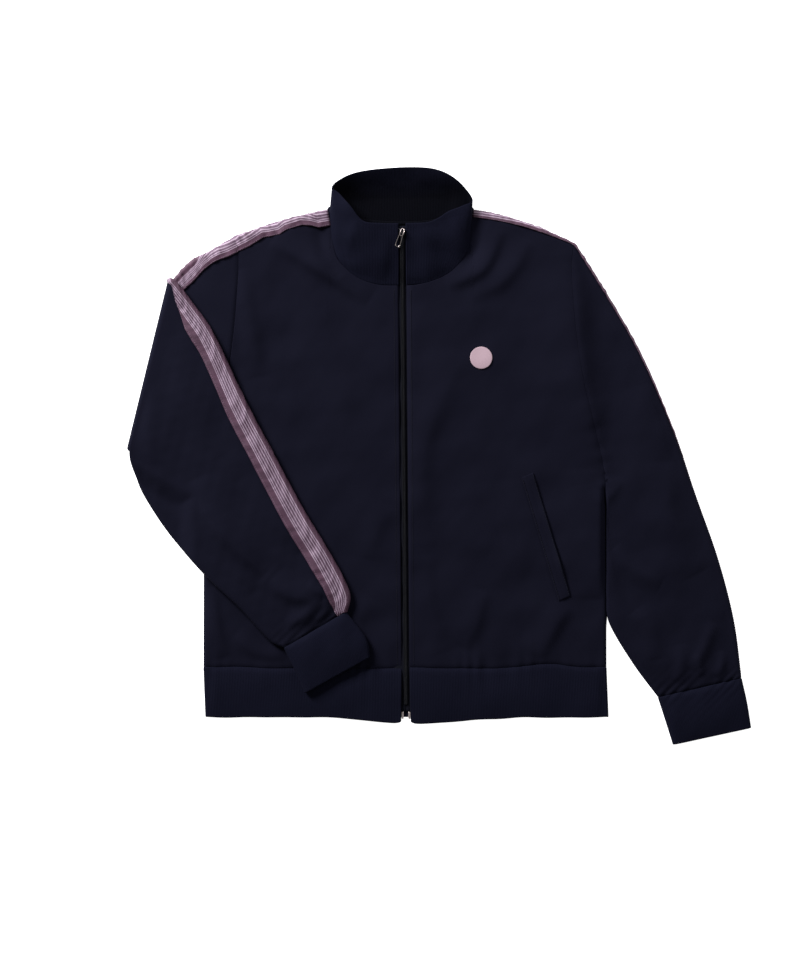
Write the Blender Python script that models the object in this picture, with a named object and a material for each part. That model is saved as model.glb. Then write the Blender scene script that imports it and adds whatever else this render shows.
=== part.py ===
"""Track jacket laid flat on its back, front up, its right sleeve folded forward over the front.

Blender 4.5, metres, +Z up. The pieces are worked out in millimetres in the garment's own axes: X across from
the middle of the front (the wearer's left is +X), Y up from the hem, Z up from the surface that the jacket lies
on. MIDDLE then puts the centre of the whole outline at the origin. Each cloth piece is a grid of points on the
middle of its wall, and a Solidify modifier gives the wall its thickness.
"""

import math
from collections import namedtuple

import bmesh
import bpy
import numpy as np
from mathutils import Matrix, Vector

MM = 0.001
MIDDLE = (43.3, 329.5)  # garment X and Y of the point that becomes the origin

# Cloth and seams, in millimetres.
WALL = 1.5  # body and sleeve cloth
RIB_WALL = 2.0  # hem band, cuffs and collar
TRIM_WALL = 1.0  # braid tape, zip tape, pocket welts and patch
SEAM = 0.3  # gap left where two pieces are sewn together
FRONT_Z = 5.0  # middle of the front panels' wall above the floor
EDGE_Z = 1.9  # middle of the front's wall where it has rolled down to a side or shoulder seam
ROLL = 4.0  # distance over which a folded edge rolls down
BACK_Z = WALL / 2

# Body.
SIDE_X = 253.5  # half the width laid flat
UNDERARM_Y = 287.0
HEM_TOP = 62.0
HEM_BOTTOM = 0.6
HEM_DIP = 8.5  # the front of the band hangs lower beside the zip
HEM_DIP_LEFT = 91.0  # how far that reaches on the wearer's left
HEM_DIP_RIGHT = 59.0
HEM_SHIFT = 2.5  # the foot of the band lies this far towards the wearer's left
ZIP_HALF = 6.0  # half the gap between the two front edges
ZIP_TILT = -0.0083  # the front line leans by this much in X for each mm of Y
ZIP_FOOT_X = 1.3
NECK_GAP = 1.7  # from the collar's seam line to the panels' neck edges
ARM_GAP = 0.4  # from the armhole line to the sleeve's first ring
ARM_EXTRA = 1.3  # more of it where the two folded edges meet at the underarm and the shoulder tip

# Sleeves.
FOLD_RADIUS = 4.5  # of the middle of the folded sleeve round its fold line
TERRACE = 7.2  # height that the folded sleeve clears where the body or its own upper part lies under it
TERRACE_MARGIN = 9.0
TERRACE_RAMP = 26.0
LAY = 0.4  # clearance of the folded sleeve over what it lies on

# Zip.
ZIP_TAPE_HALF = 14.0
ZIP_TAPE_DROP = 2.0  # middle of the zip tape below the middle of the front
CHAIN_WIDTH = 5.0
CHAIN_THICK = 2.2
ZIP_BOTTOM = 7.5
ZIP_TOP = 619.0
SLIDER_Y = 611.0
CHAIN_LOW, CHAIN_HIGH = 17.0, 605.5
END_INNER, END_OUTER = 3.0, 5.7  # sides of each metal end piece, from the front line
END_LENGTH = 8.7
END_THICK = 2.4

Station = namedtuple("Station", "seam_x seam_y seam_z edge_x edge_y edge_z")
COLLAR = [  # from the zip, round the wearer's right side, the back and the left side, to the zip
    Station(-8, 546, 5.0, -9, 622, 24),
    Station(-32, 547, 5.0, -32, 622, 26),
    Station(-54, 553, 5.0, -53, 625, 27),
    Station(-73, 566, 5.1, -69, 644, 25),
    Station(-88, 588, 5.2, -82, 659, 22),
    Station(-94, 640, 3.9, -91, 668, 19),
    Station(-80, 637, 2.7, -79, 679, 17),
    Station(-50, 629, 1.1, -54, 688, 16),
    Station(-6, 626, 1.1, -4, 693, 15.5),
    Station(38, 629, 1.1, 37, 691, 16),
    Station(67, 637, 2.7, 65, 677, 17),
    Station(83, 640, 3.9, 84, 653, 19),
    Station(80, 600, 5.2, 73, 645, 22),
    Station(73, 581, 5.1, 55, 638, 24),
    Station(57, 563, 5.0, 43, 630, 26),
    Station(32, 551, 5.0, 29, 624, 26),
    Station(8, 546, 5.0, 8, 622, 24),
]
LAST = len(COLLAR) - 1
RIGHT_CORNER, LEFT_CORNER = 5 / LAST, 11 / LAST  # where the shoulder seams meet the collar

Plan = namedtuple("Plan", "x y")
ARMHOLE = [  # from the underarm to the shoulder tip, on the wearer's left
    Plan(253, 287),
    Plan(249, 325),
    Plan(237, 375),
    Plan(225, 426),
    Plan(217, 476),
    Plan(212, 527),
    Plan(210, 570),
    Plan(213, 597),
]
SHOULDER_BOW = 6.0  # rise of each shoulder seam above a straight line
RIGHT_TIP_RISE = 9.0  # the tip of the wearer's right shoulder lies this much higher than the left one

Ring = namedtuple("Ring", "over_x over_y under_x under_y thick")
LEFT_SLEEVE = [  # sections from the armhole to the cuff seam: overarm edge, underarm edge
    Ring(213, 597, 253, 287, 5.75),
    Ring(256, 529, 257.5, 262, 6.6),
    Ring(299, 453, 257.5, 231, 6.8),
    Ring(337, 364, 257.5, 188, 6.8),
    Ring(369, 276, 257.5, 148, 6.8),
    Ring(395, 199, 266, 107, 6.8),
    Ring(414, 123, 290.5, 66, 6.6),
    Ring(424, 50, 320, 26, 6.0),
]
LEFT_CUFF = [
    Ring(424.2, 48.9, 320.2, 24.9, 6.4),
    Ring(431, 18, 330.5, -7, 7.0),
    Ring(436, -13, 339, -34, 6.4),
]
RIGHT_UPPER = [  # from the armhole to the fold line
    Ring(-213, 606, -253, 287, 5.75),
    Ring(-256, 584.5, -300, 311, 5.75),
    Ring(-296, 548, -344, 336, 5.75),
]
RIGHT_LOWER = [  # from the fold line, over the front, to the cuff seam
    Ring(-296, 548, -344, 336, 5.75),
    Ring(-263, 524, -345, 324, 5.9),
    Ring(-238, 483, -339, 305, 6.2),
    Ring(-200, 401, -328, 279, 6.5),
    Ring(-170, 343, -296, 231, 6.5),
    Ring(-125, 260, -249, 178, 6.5),
    Ring(-91, 205, -208, 139, 6.4),
    Ring(-70, 158, -171, 99, 6.2),
    Ring(-75, 134, -152, 89, 6.0),
]
RIGHT_CUFF = [
    Ring(-74.4, 133.0, -151.4, 88.0, 6.4),
    Ring(-50, 101, -139, 63, 7.0),
    Ring(-45, 77, -125, 32, 6.4),
]

Fold = namedtuple("Fold", "x0 y0 x1 y1 x2 y2 height width")
LEFT_FRONT_FOLDS = [
    Fold(79, 449, 26, 338, 34, 215, 2.6, 15),
    Fold(32, 205, 36, 140, 58, 86, 2.2, 12),
    Fold(112, 151, 100, 118, 84, 90, 2.0, 9),
    Fold(170, 74, 190, 104, 215, 134, 2.2, 10),
    Fold(130, 612, 100, 568, 60, 548, 3.0, 11),
    Fold(150, 598, 128, 552, 88, 528, 1.8, 12),
    Fold(222, 420, 214, 350, 236, 300, 1.8, 14),
]
RIGHT_FRONT_FOLDS = [
    Fold(-160, 600, -104, 560, -46, 516, 3.0, 12),
    Fold(-196, 560, -186, 500, -172, 440, 2.2, 9),
    Fold(-29, 265, -44, 235, -50, 204, 1.6, 9),
    Fold(-243, 160, -238, 120, -228, 82, 1.6, 9),
]
LEFT_SLEEVE_FOLDS = [
    Fold(236, 560, 246, 480, 258, 405, 2.4, 14),
    Fold(250, 270, 262, 282, 276, 298, 2.2, 9),
    Fold(338, 316, 346, 250, 384, 194, 2.4, 11),
    Fold(268, 208, 290, 186, 320, 170, 2.0, 12),
    Fold(372, 62, 384, 90, 392, 118, 1.8, 8),
]
RIGHT_SLEEVE_FOLDS = [
    Fold(-266, 294, -232, 232, -188, 184, 2.4, 11),
    Fold(-184, 178, -150, 152, -108, 142, 2.0, 9),
    Fold(-286, 470, -268, 400, -250, 350, 1.8, 13),
]


def smooth(x):
    """0 below 0, 1 above 1, an S-curve between."""
    x = np.clip(x, 0.0, 1.0)
    return x * x * (3.0 - 2.0 * x)


def curve(rows, t):
    """Points at shares t of the smooth curve through the rows, which lie one even step apart."""
    rows = np.asarray(rows, float)
    slope = np.gradient(rows, axis=0)
    place = np.clip(np.asarray(t, float), 0.0, 1.0) * (len(rows) - 1)
    i = np.minimum(place.astype(int), len(rows) - 2)
    f = (place - i)[..., None]
    near = (1 + 2 * f) * (1 - f) ** 2 * rows[i] + f * (1 - f) ** 2 * slope[i]
    return near + f * f * (3 - 2 * f) * rows[i + 1] - f * f * (1 - f) * slope[i + 1]


def along(rows, shares):
    """Points at shares of the length of the curve through the rows."""
    fine = curve(rows, np.linspace(0, 1, 240))
    run = np.concatenate([[0], np.cumsum(np.linalg.norm(np.diff(fine, axis=0), axis=1))])
    at = np.asarray(shares, float) * run[-1]
    return np.stack([np.interp(at, run, fine[:, k]) for k in range(fine.shape[1])], axis=-1)


def nearest(x, y, line, closed=False):
    """Distance from each point to a line of plan points, and the share along it of the nearest place."""
    line = np.asarray(line, float)[:, :2]
    ends = np.roll(line, -1, axis=0) if closed else line[1:]
    starts = line if closed else line[:-1]
    step = ends - starts
    gap = np.stack([x, y], axis=-1)[..., None, :] - starts
    t = np.clip((gap * step).sum(-1) / (step * step).sum(-1), 0, 1)
    away = np.linalg.norm(gap - t[..., None] * step, axis=-1)
    i = away.argmin(axis=-1)[..., None]
    place = (np.take_along_axis(t, i, -1) + i) / len(starts)
    return np.take_along_axis(away, i, -1)[..., 0], place[..., 0]


def inside(x, y, outline):
    """Whether each point lies inside the closed outline, by counting the edges to its right."""
    found = np.zeros(np.shape(x), bool)
    for (ax, ay), (bx, by) in zip(outline, outline[1:] + outline[:1]):
        crosses = (ay > y) != (by > y)
        found ^= crosses & (x < ax + (y - ay) * (bx - ax) / (by - ay + 1e-12))
    return found


def ridges(x, y, folds):
    """Summed height of the folds: each a bell across its curved line that fades out at both ends."""
    height = np.zeros(np.shape(x))
    for fold in folds:
        points = [(fold.x0, fold.y0), (fold.x1, fold.y1), (fold.x2, fold.y2)]
        away, place = nearest(x, y, curve(points, np.linspace(0, 1, 13)))
        height += fold.height * np.exp(-((away / fold.width) ** 2)) * np.sin(np.pi * place) ** 0.7
    return height


def patch(bottom, top, left, right):
    """Coons patch: a grid of plan points blended from its four edges, whose corners agree."""
    u = np.concatenate([[0], np.cumsum(np.linalg.norm(np.diff(bottom, axis=0), axis=1))])
    v = np.concatenate([[0], np.cumsum(np.linalg.norm(np.diff(right, axis=0), axis=1))])
    u, v = (u / u[-1])[None, :, None], (v / v[-1])[:, None, None]
    across = (1 - v) * bottom[None] + v * top[None] + (1 - u) * left[:, None] + u * right[:, None]
    corners = (1 - v) * ((1 - u) * bottom[0] + u * bottom[-1]) + v * ((1 - u) * top[0] + u * top[-1])
    return across - corners


def moved_out(grid, distance, way=1.0):
    """The grid moved along its own normals."""
    normal = np.cross(np.gradient(grid, axis=1), np.gradient(grid, axis=0))
    return grid + way * distance * normal / np.linalg.norm(normal, axis=-1, keepdims=True)


def material(name, colour, roughness, metallic=0.0):
    made = bpy.data.materials.new(name)
    made.use_nodes = True
    shader = made.node_tree.nodes["Principled BSDF"]
    shader.inputs["Base Color"].default_value = (*colour, 1.0)
    shader.inputs["Roughness"].default_value = roughness
    shader.inputs["Metallic"].default_value = metallic
    return made


def to_world(points):
    """Garment millimetres to metres about the origin."""
    return (np.asarray(points, float) - (*MIDDLE, 0.0)) * MM


def cloth(name, grid, thickness, finish, closed=False):
    """A wall of this thickness, centred on a grid of points given in rows; closed joins each row's ends."""
    rows, columns = grid.shape[:2]
    index = np.arange(rows * columns).reshape(rows, columns)
    if closed:
        index = np.concatenate([index, index[:, :1]], axis=1)
    quads = np.stack([index[:-1, :-1], index[:-1, 1:], index[1:, 1:], index[1:, :-1]], axis=-1)
    mesh = bpy.data.meshes.new(name)
    mesh.from_pydata(to_world(grid.reshape(-1, 3)).tolist(), [], quads.reshape(-1, 4).tolist())
    mesh.materials.append(finish)
    mesh.shade_smooth()
    made = bpy.data.objects.new(name, mesh)
    wall = made.modifiers.new("Wall", "SOLIDIFY")
    wall.thickness = thickness * MM
    wall.offset = 0.0
    bpy.context.scene.collection.objects.link(made)
    return made


# Body: plan lines.


def zip_x(y):
    """X of the front line at height y."""
    return ZIP_FOOT_X + ZIP_TILT * y


def hem_seam(x):
    """Height of the seam between the panels and the hem band."""
    return HEM_TOP + 4.0 * np.exp(-(((x - 185) / 45) ** 2)) + 1.5 * np.exp(-(((x + 215) / 40) ** 2))


def armhole(side, shares):
    """Plan points up one armhole; side is 1 for the wearer's left, -1 for the right, whose tip lies higher."""
    shares = np.asarray(shares, float)
    points = along(ARMHOLE, shares) * (side, 1)
    points[..., 1] += (side < 0) * RIGHT_TIP_RISE * smooth((shares - 0.55) / 0.45)
    return points


def shoulder(side, shares):
    """Plan points along one shoulder seam, from the collar to the shoulder tip."""
    corner = COLLAR[11 if side > 0 else 5]
    start = np.array([corner.seam_x + side * NECK_GAP, corner.seam_y])
    end = armhole(side, 1.0)
    shares = np.asarray(shares, float)[..., None]
    return start + (end - start) * shares + np.array([0, SHOULDER_BOW]) * np.sin(np.pi * shares)


def neck(shares, way=1):
    """Plan points of a panel's neck edge: the collar's seam line moved out by the gap, or in for way -1."""
    seam = curve(COLLAR, shares)[:, :2]
    fine = curve(COLLAR, np.linspace(0, 1, 400))[:, :2]
    middle = np.array([-5.0, 606.0])
    slope = np.gradient(fine, axis=0)
    slope = np.stack([np.interp(shares, np.linspace(0, 1, 400), slope[:, k]) for k in (0, 1)], axis=-1)
    normal = np.stack([slope[:, 1], -slope[:, 0]], axis=-1)
    normal /= np.linalg.norm(normal, axis=1, keepdims=True)
    normal *= np.sign(((seam - middle) * normal).sum(axis=1, keepdims=True))
    return seam + way * NECK_GAP * normal


def layer_shares(length, inner):
    """Shares across a flattened layer: close steps over the rolled edge at each end, even ones between."""
    roll = ROLL / length
    start = np.array([0, 0.134, 0.5]) * roll
    return np.concatenate([start, np.linspace(roll, 1 - roll, inner + 1), 1 - start[::-1]])


ARM_LENGTH = math.dist((ARMHOLE[0].x, ARMHOLE[0].y), (ARMHOLE[-1].x, ARMHOLE[-1].y))
ACROSS = 8  # even steps across a sleeve's layer
ARM_SHARES = layer_shares(ARM_LENGTH, ACROSS)


def body_side(side, foot_x):
    """Plan points from the hem seam up the side seam and the armhole to the shoulder tip."""
    foot = np.array([foot_x, float(hem_seam(foot_x)) + SEAM])
    corner = np.array([side * ARMHOLE[0].x, UNDERARM_Y])
    seam = foot + (corner - foot) * np.linspace(0, 1, 7)[:-1, None]
    return np.concatenate([seam, armhole(side, ARM_SHARES)])


def folded_edges(side):
    """The lines where front and back meet at a fold: the side seam and the shoulder seam."""
    side_line = [(side * SIDE_X, 0), (side * ARMHOLE[0].x, UNDERARM_Y)]
    return side_line, shoulder(side, np.linspace(0, 1, 9))


def front_z(x, y, side):
    """Height of the middle of the front's wall: level, rolled down at the folded edges, with its folds."""
    away = np.minimum(*(nearest(x, y, line)[0] for line in folded_edges(side)))
    rolled = np.sqrt(1 - (1 - np.minimum(away / ROLL, 1)) ** 2)
    folds = LEFT_FRONT_FOLDS if side > 0 else RIGHT_FRONT_FOLDS
    fade = smooth(away / 25) * smooth((y - HEM_TOP) / 20)
    return EDGE_Z + (FRONT_Z - EDGE_Z) * rolled + fade * ridges(x, y, folds)


def lifted(plan, height):
    """Plan points with their heights added."""
    return np.concatenate([plan, np.broadcast_to(height, plan.shape[:-1])[..., None]], axis=-1)


# Body: pieces.


NECK_STEPS = 9
SHOULDER_SHARES = np.array([0, 0.12, 0.3, 0.48, 0.66, 0.84, 0.97, 0.99, 1.0])


def front_panel(name, side, finish):
    """One front: from the hem seam to the neck and shoulder, from the zip to the side seam and armhole."""
    corner = LEFT_CORNER if side > 0 else RIGHT_CORNER
    neck_line = neck(np.linspace(1.0 if side > 0 else 0.0, corner, NECK_STEPS))
    neck_line[0, 0] = zip_x(neck_line[0, 1]) + side * ZIP_HALF
    shoulder_line = shoulder(side, SHOULDER_SHARES)
    neck_line[-1] = shoulder_line[0]
    top = np.concatenate([neck_line, shoulder_line[1:]])
    right = body_side(side, side * SIDE_X)
    steps = np.concatenate([np.linspace(0, 0.984, len(top) - 3), [0.992, 0.998, 1.0]])
    foot = zip_x(HEM_TOP) + side * ZIP_HALF
    bottom_x = foot + (side * SIDE_X - foot) * steps
    bottom = np.stack([bottom_x, hem_seam(bottom_x) + SEAM], axis=-1)
    run = np.concatenate([[0], np.cumsum(np.linalg.norm(np.diff(right, axis=0), axis=1))])
    left_y = bottom[0, 1] + (top[0, 1] - bottom[0, 1]) * run / run[-1]
    left = np.stack([zip_x(left_y) + side * ZIP_HALF, left_y], axis=-1)
    bottom[0], top[0], top[-1] = left[0], left[-1], right[-1]
    plan = patch(bottom, top, left, right)
    return cloth(name, lifted(plan, front_z(plan[..., 0], plan[..., 1], side)), WALL, finish)


def back_panel(finish):
    """The back, flat on the floor, from the hem seam to the back neck and both shoulders."""
    right, left = body_side(1, SIDE_X), body_side(-1, -SIDE_X)
    neck_line = neck(np.linspace(RIGHT_CORNER, LEFT_CORNER, 11), -1)
    ends = shoulder(-1, SHOULDER_SHARES[::-1]), shoulder(1, SHOULDER_SHARES)
    neck_line[0], neck_line[-1] = ends[0][-1], ends[1][0]
    top = np.concatenate([ends[0][:-1], neck_line, ends[1][1:]])
    bottom_x = np.linspace(-SIDE_X, SIDE_X, len(top))
    bottom = np.stack([bottom_x, hem_seam(bottom_x) + SEAM], axis=-1)
    plan = patch(bottom, top, left, right)
    return cloth("back_panel", lifted(plan, BACK_Z), WALL, finish)


def hem_band(finish):
    """The hem band: front, round one side, across the back, round the other side, front."""
    low, high = RIB_WALL / 2, FRONT_Z
    centre, radius = (low + high) / 2, (high - low) / 2
    turn = np.linspace(90, -90, 7)[1:-1]
    bend = SIDE_X - ROLL / 2 + ROLL / 2 * np.cos(np.radians(turn))
    bend_z = centre + radius * np.sin(np.radians(turn))
    front = np.linspace(ZIP_HALF, SIDE_X - ROLL / 2, 10)
    back = np.linspace(SIDE_X - ROLL / 2, -SIDE_X + ROLL / 2, 16)
    x = np.concatenate([front, bend, back, -bend[::-1], -front[::-1]])
    z = np.concatenate([np.full(10, high), bend_z, np.full(16, low), bend_z[::-1], np.full(10, high)])
    dip_width = np.where(x > 0, HEM_DIP_LEFT, HEM_DIP_RIGHT)
    dip = HEM_DIP * np.exp(-((x / dip_width) ** 2)) * (z > centre)
    share = np.linspace(0, 1, 4)[:, None]
    y = (HEM_BOTTOM - dip) + (hem_seam(x) - HEM_BOTTOM + dip) * share
    lean = np.where(z > centre, zip_x(y) * np.clip(1 - np.abs(x) / 60, 0, 1), 0.0)
    lean = lean + HEM_SHIFT * (1 - share) * smooth(np.abs(x) / 100)
    grid = np.stack([x + lean, y, np.broadcast_to(z, y.shape)], axis=-1)
    return cloth("hem_band", grid, RIB_WALL, finish)


COLLAR_BOW = 2.0
BOW_FROM, BOW_OVER = 3.5, 1.2  # seam heights between which the bow of the front sets in


def collar_point(t, v):
    """Point of the collar: t round it from zip to zip, v from the seam to the top edge, its front bowed."""
    row = curve(COLLAR, t)
    low, high = row[..., :3], row[..., 3:]
    bow = COLLAR_BOW * np.sin(np.pi * v) * smooth((low[..., 2] - BOW_FROM) / BOW_OVER)
    point = low + (high - low) * v[..., None]
    point[..., 2] += bow
    return point


def collar(finish):
    front = np.linspace(0, RIGHT_CORNER, NECK_STEPS)
    back = np.linspace(RIGHT_CORNER, LEFT_CORNER, 13)
    t = np.concatenate([front[:-1], back[:-1], np.linspace(LEFT_CORNER, 1, NECK_STEPS)])
    t, v = np.meshgrid(t, np.linspace(0, 1, 6))
    grid = collar_point(t, v)
    nudge = np.exp(-((np.minimum(t, 1 - t) / 0.02) ** 2))
    edge_x = zip_x(grid[..., 1]) + np.where(t < 0.5, -ZIP_HALF, ZIP_HALF)
    grid[..., 0] += nudge * (edge_x - grid[..., 0])
    return cloth("collar", grid, RIB_WALL, finish)


# Sleeves.


def spine(rings, rows):
    """Overarm and underarm edge points, facing and half height of the middle surface, at even steps."""
    at = curve(rings, np.linspace(0, 1, rows))
    centre = at[:, 4:] / 2
    over = np.concatenate([at[:, 0:2], centre], axis=1)
    under = np.concatenate([at[:, 2:4], centre], axis=1)
    facing = np.tile([0.0, 0.0, 1.0], (rows, 1))
    return over, under, facing, (at[:, 4] - WALL) / 2


def place(parts, away, q):
    """Points of a flattened tube: away mm from the overarm edge, q 1 on the front layer to -1 on the back."""
    over, under, facing, half = (part[:, None] for part in parts)
    step = under - over
    step = step / np.linalg.norm(step, axis=-1, keepdims=True)
    return over + step * away[..., None] + facing * (q * half)[..., None]


def section(parts, inner=ACROSS):
    """Distances and heights round the whole tube: front layer out to the underarm edge, back layer home."""
    length = np.linalg.norm(parts[1] - parts[0], axis=1)[:, None]
    edge = np.array([0, 0.134, 0.5, 1.0])
    rise = np.sqrt(1 - (1 - edge) ** 2)
    ends = np.concatenate([edge[:-1] * ROLL, np.zeros(inner + 1) + ROLL, 2 * ROLL - edge[-2::-1] * ROLL])
    share = np.concatenate([np.zeros(3), np.linspace(0, 1, inner + 1), np.ones(3)])
    q = np.concatenate([rise[:-1], np.ones(inner + 1), rise[-2::-1]])
    ends = np.concatenate([ends, ends[-2:0:-1]])[None]
    share = np.concatenate([share, share[-2:0:-1]])[None]
    q = np.concatenate([q, -q[-2:0:-1]])[None]
    return ends + (length - 2 * ROLL) * share, np.broadcast_to(q, (len(length), q.shape[1]))


def fit_armhole(grid, parts, away, side, reach):
    """Bends the first rings to the armhole's curve; reach is how many rows the bend fades over."""
    over, under = parts[0][:, None, :2], parts[1][:, None, :2]
    length = np.linalg.norm(under - over, axis=-1)
    share = away / length
    chord = over[:1] + (under[:1] - over[:1]) * share[..., None]
    hole = armhole(side, 1 - share)
    fade = (1 - smooth(np.arange(len(grid)) / reach))[:, None, None]
    grid[..., :2] += fade * (hole - chord)
    ends = np.exp(-((away / 10) ** 2)) + np.exp(-(((length - away) / 10) ** 2))
    grid[..., 0] += fade[..., 0] * side * (ARM_GAP + ARM_EXTRA * ends)
    return grid


LEFT_ROWS = 18
BEND_TURNS = np.radians(np.arange(1, 8) * 22.5)
UPPER_ROWS = 5
LOWER_ROWS = 17
CUFF_ROWS = 4


def left_sleeve_grid(away, q, parts):
    """The left sleeve's middle surface, bent to the armhole, with its folds in the upper layer."""
    grid = fit_armhole(place(parts, away, q), parts, away, 1, 6)
    grid[..., 2] += np.clip(q, 0, 1) * ridges(grid[..., 0], grid[..., 1], LEFT_SLEEVE_FOLDS)
    return grid


def right_spine():
    """The right sleeve's spine: flat to the fold line, half a turn about it, then back over the front."""
    upper = spine(RIGHT_UPPER, UPPER_ROWS)
    lower = spine(RIGHT_LOWER, LOWER_ROWS)
    start, end = upper[0][-1], upper[1][-1]
    line = (end - start) / np.linalg.norm(end - start)
    out = np.array([line[1], -line[0], 0.0])
    out *= -np.sign(out[0])
    turn = BEND_TURNS[:, None]
    shift = FOLD_RADIUS * (out * np.sin(turn) + np.array([0, 0, 1.0]) * (1 - np.cos(turn)))
    facing = np.array([0, 0, 1.0]) * np.cos(turn) - out * np.sin(turn)
    bend = start + shift, end + shift, facing, np.full(len(BEND_TURNS), upper[3][-1])
    raised = np.array([0, 0, 2 * FOLD_RADIUS])
    lower = lower[0] + raised, lower[1] + raised, -lower[2], lower[3]
    return tuple(np.concatenate(piece) for piece in zip(upper, bend, lower))


def terrace(x, y):
    """Height under the folded sleeve: level over the body and its own upper part, down to the floor beside."""
    fold, arm = RIGHT_UPPER[-1], RIGHT_UPPER[1]
    outline = [
        (fold.under_x, fold.under_y),
        (arm.under_x, arm.under_y),
        (-SIDE_X, UNDERARM_Y),
        (-SIDE_X, 0.0),
        (0.0, 0.0),
        (0.0, 600.0),
        (RIGHT_UPPER[0].over_x, RIGHT_UPPER[0].over_y),
        (fold.over_x, fold.over_y),
    ]
    away = np.where(inside(x, y, outline), 0.0, nearest(x, y, outline, closed=True)[0])
    return TERRACE * (1 - smooth((away - TERRACE_MARGIN) / TERRACE_RAMP))


def drape(grid, q, half, settle):
    """Sets the heights of the folded part: it rests on the terrace, its upper layer carrying the folds."""
    x, y = grid[..., 0], grid[..., 1]
    rest = terrace(x, y) + LAY + WALL / 2 + half * (1 - q)
    rest += np.clip(-q, 0, 1) * ridges(x, y, RIGHT_SLEEVE_FOLDS)
    grid[..., 2] += (rest - grid[..., 2]) * settle
    return grid


def right_sleeve_grid(away, q, parts):
    """The right sleeve's middle surface: its upper part bent to the armhole, its lower part draped."""
    upper = UPPER_ROWS + len(BEND_TURNS)
    grid = place(parts, away, q)
    flat = tuple(part[:UPPER_ROWS] for part in parts)
    grid[:UPPER_ROWS] = fit_armhole(grid[:UPPER_ROWS], flat, away[:UPPER_ROWS], -1, 3)
    settle = smooth(np.arange(LOWER_ROWS) / 3.0)[:, None]
    grid[upper:] = drape(grid[upper:], q[upper:], parts[3][upper:, None], settle)
    return grid


def cuff(name, rings, draped, finish):
    """A ribbed cuff: a flattened tube from the sleeve's end, on the floor or draped like its sleeve."""
    parts = spine(rings, CUFF_ROWS)
    away, q = section(parts)
    grid = place(parts, away, q)
    if draped:
        grid = drape(grid, -q, parts[3][:, None], 1.0)
    grid[..., 2] += (RIB_WALL - WALL) / 2
    return cloth(name, grid, RIB_WALL, finish, closed=True)


# Tapes.


TAPE_LIFT = 0.9  # gap between the tape and the cloth under it, enough where the facets differ
CROWDING = 1.7  # how closely a tape's columns gather at the folded edge
TAPE_END = 0.06  # share of its last row that a tape stops short of the cuff
SHOULDER_ROWS = 6
LEFT_TAPE_TOP, LEFT_TAPE_LOW = 3.5, -1.4  # its edges down the sleeve, round from the overarm edge
LEFT_TAPE_START = 10.0  # its upper edge at the collar
RIGHT_TAPE_START, RIGHT_TAPE_TOP = 17.0, 14.0
RIGHT_TAPE_LOW = -1.3
SHOULDER_TAPE_LOW = -0.6
FOLDED_TAPE_TURN = 12.5  # by how much its upper edge goes round on the folded part
FOLDED_TAPE_GROWTH = 26.7  # and its lower edge


def round_edge(p, half):
    """Distance from the overarm edge and height share at p mm round it, plus in front, minus behind."""
    quarter = (ROLL + half) * 0.82
    turn = np.clip(p / quarter, -1, 1) * np.pi / 2
    return ROLL * (1 - np.cos(turn)) + np.maximum(np.abs(p) - quarter, 0), np.sin(turn)


def tape(name, side, parts, make_grid, top, low, steps, finish):
    """Braid tape over the shoulder and down the overarm, from top to low mm round the folded edge."""
    shares = np.linspace(0.02, 0.84, SHOULDER_ROWS)
    edge = shoulder(side, shares)
    slope = np.gradient(edge, axis=0)
    inward = np.stack([slope[:, 1], -slope[:, 0]], axis=-1) * side
    inward /= np.linalg.norm(inward, axis=1, keepdims=True)
    count = len(shares)
    columns = np.linspace(0, 1, steps)
    behind = (-low / (top - low))[:, None]
    share = (1 - behind) * (1 - (1 - columns) ** CROWDING) + behind * columns**CROWDING
    p = top[:, None] + (low - top)[:, None] * share
    half = np.concatenate([np.full(count, FRONT_Z - EDGE_Z), parts[3]])[:, None]
    away, q = round_edge(p, half)
    body = edge[:, None] + inward[:, None] * away[:count, :, None]
    body_z = EDGE_Z + (FRONT_Z - EDGE_Z) * np.maximum(q[:count], 0) + np.minimum(p[:count], 0)
    sleeve = make_grid(away[count:], q[count:], parts)
    grid = np.concatenate([lifted(body, body_z), sleeve])
    grid[-1] += TAPE_END * (grid[-2] - grid[-1])
    out = WALL / 2 + TAPE_LIFT + TRIM_WALL / 2
    return cloth(name, moved_out(grid, out, -side), TRIM_WALL, finish)


# Zip.


def front_line_z(y):
    """Height of the middle of the wall along the front line, up the body and the collar."""
    v = np.clip((y - COLLAR[0].seam_y) / (COLLAR[0].edge_y - COLLAR[0].seam_y), 0, 1)
    return FRONT_Z + (COLLAR[0].edge_z - FRONT_Z) * v + COLLAR_BOW * np.sin(np.pi * v)


def zip_strip(name, from_x, to_x, drop, thickness, low, high, finish):
    """A strip along the zip between two distances from the front line, its middle dropped below the front's."""
    neck_y = COLLAR[0].seam_y
    y = np.concatenate([np.linspace(low, neck_y, 12)[:-1], np.linspace(neck_y, high, 8)])[:, None]
    points = np.broadcast_arrays(zip_x(y) + np.linspace(from_x, to_x, 3), y, front_line_z(y) - drop)
    return cloth(name, np.stack(points, axis=-1), thickness, finish)


def slider_frame():
    """Matrix at the slider: its X across the zip, its Y up the collar's slope, its Z out of the cloth."""
    y = np.array([SLIDER_Y - 1, SLIDER_Y + 1])
    rise = math.atan2(float(np.diff(front_line_z(y))[0]), 2.0)
    at = to_world((zip_x(SLIDER_Y), SLIDER_Y, float(front_line_z(np.array(SLIDER_Y)))))
    return Matrix.Translation(Vector(at)) @ Matrix.Rotation(rise, 4, "X")


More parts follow.
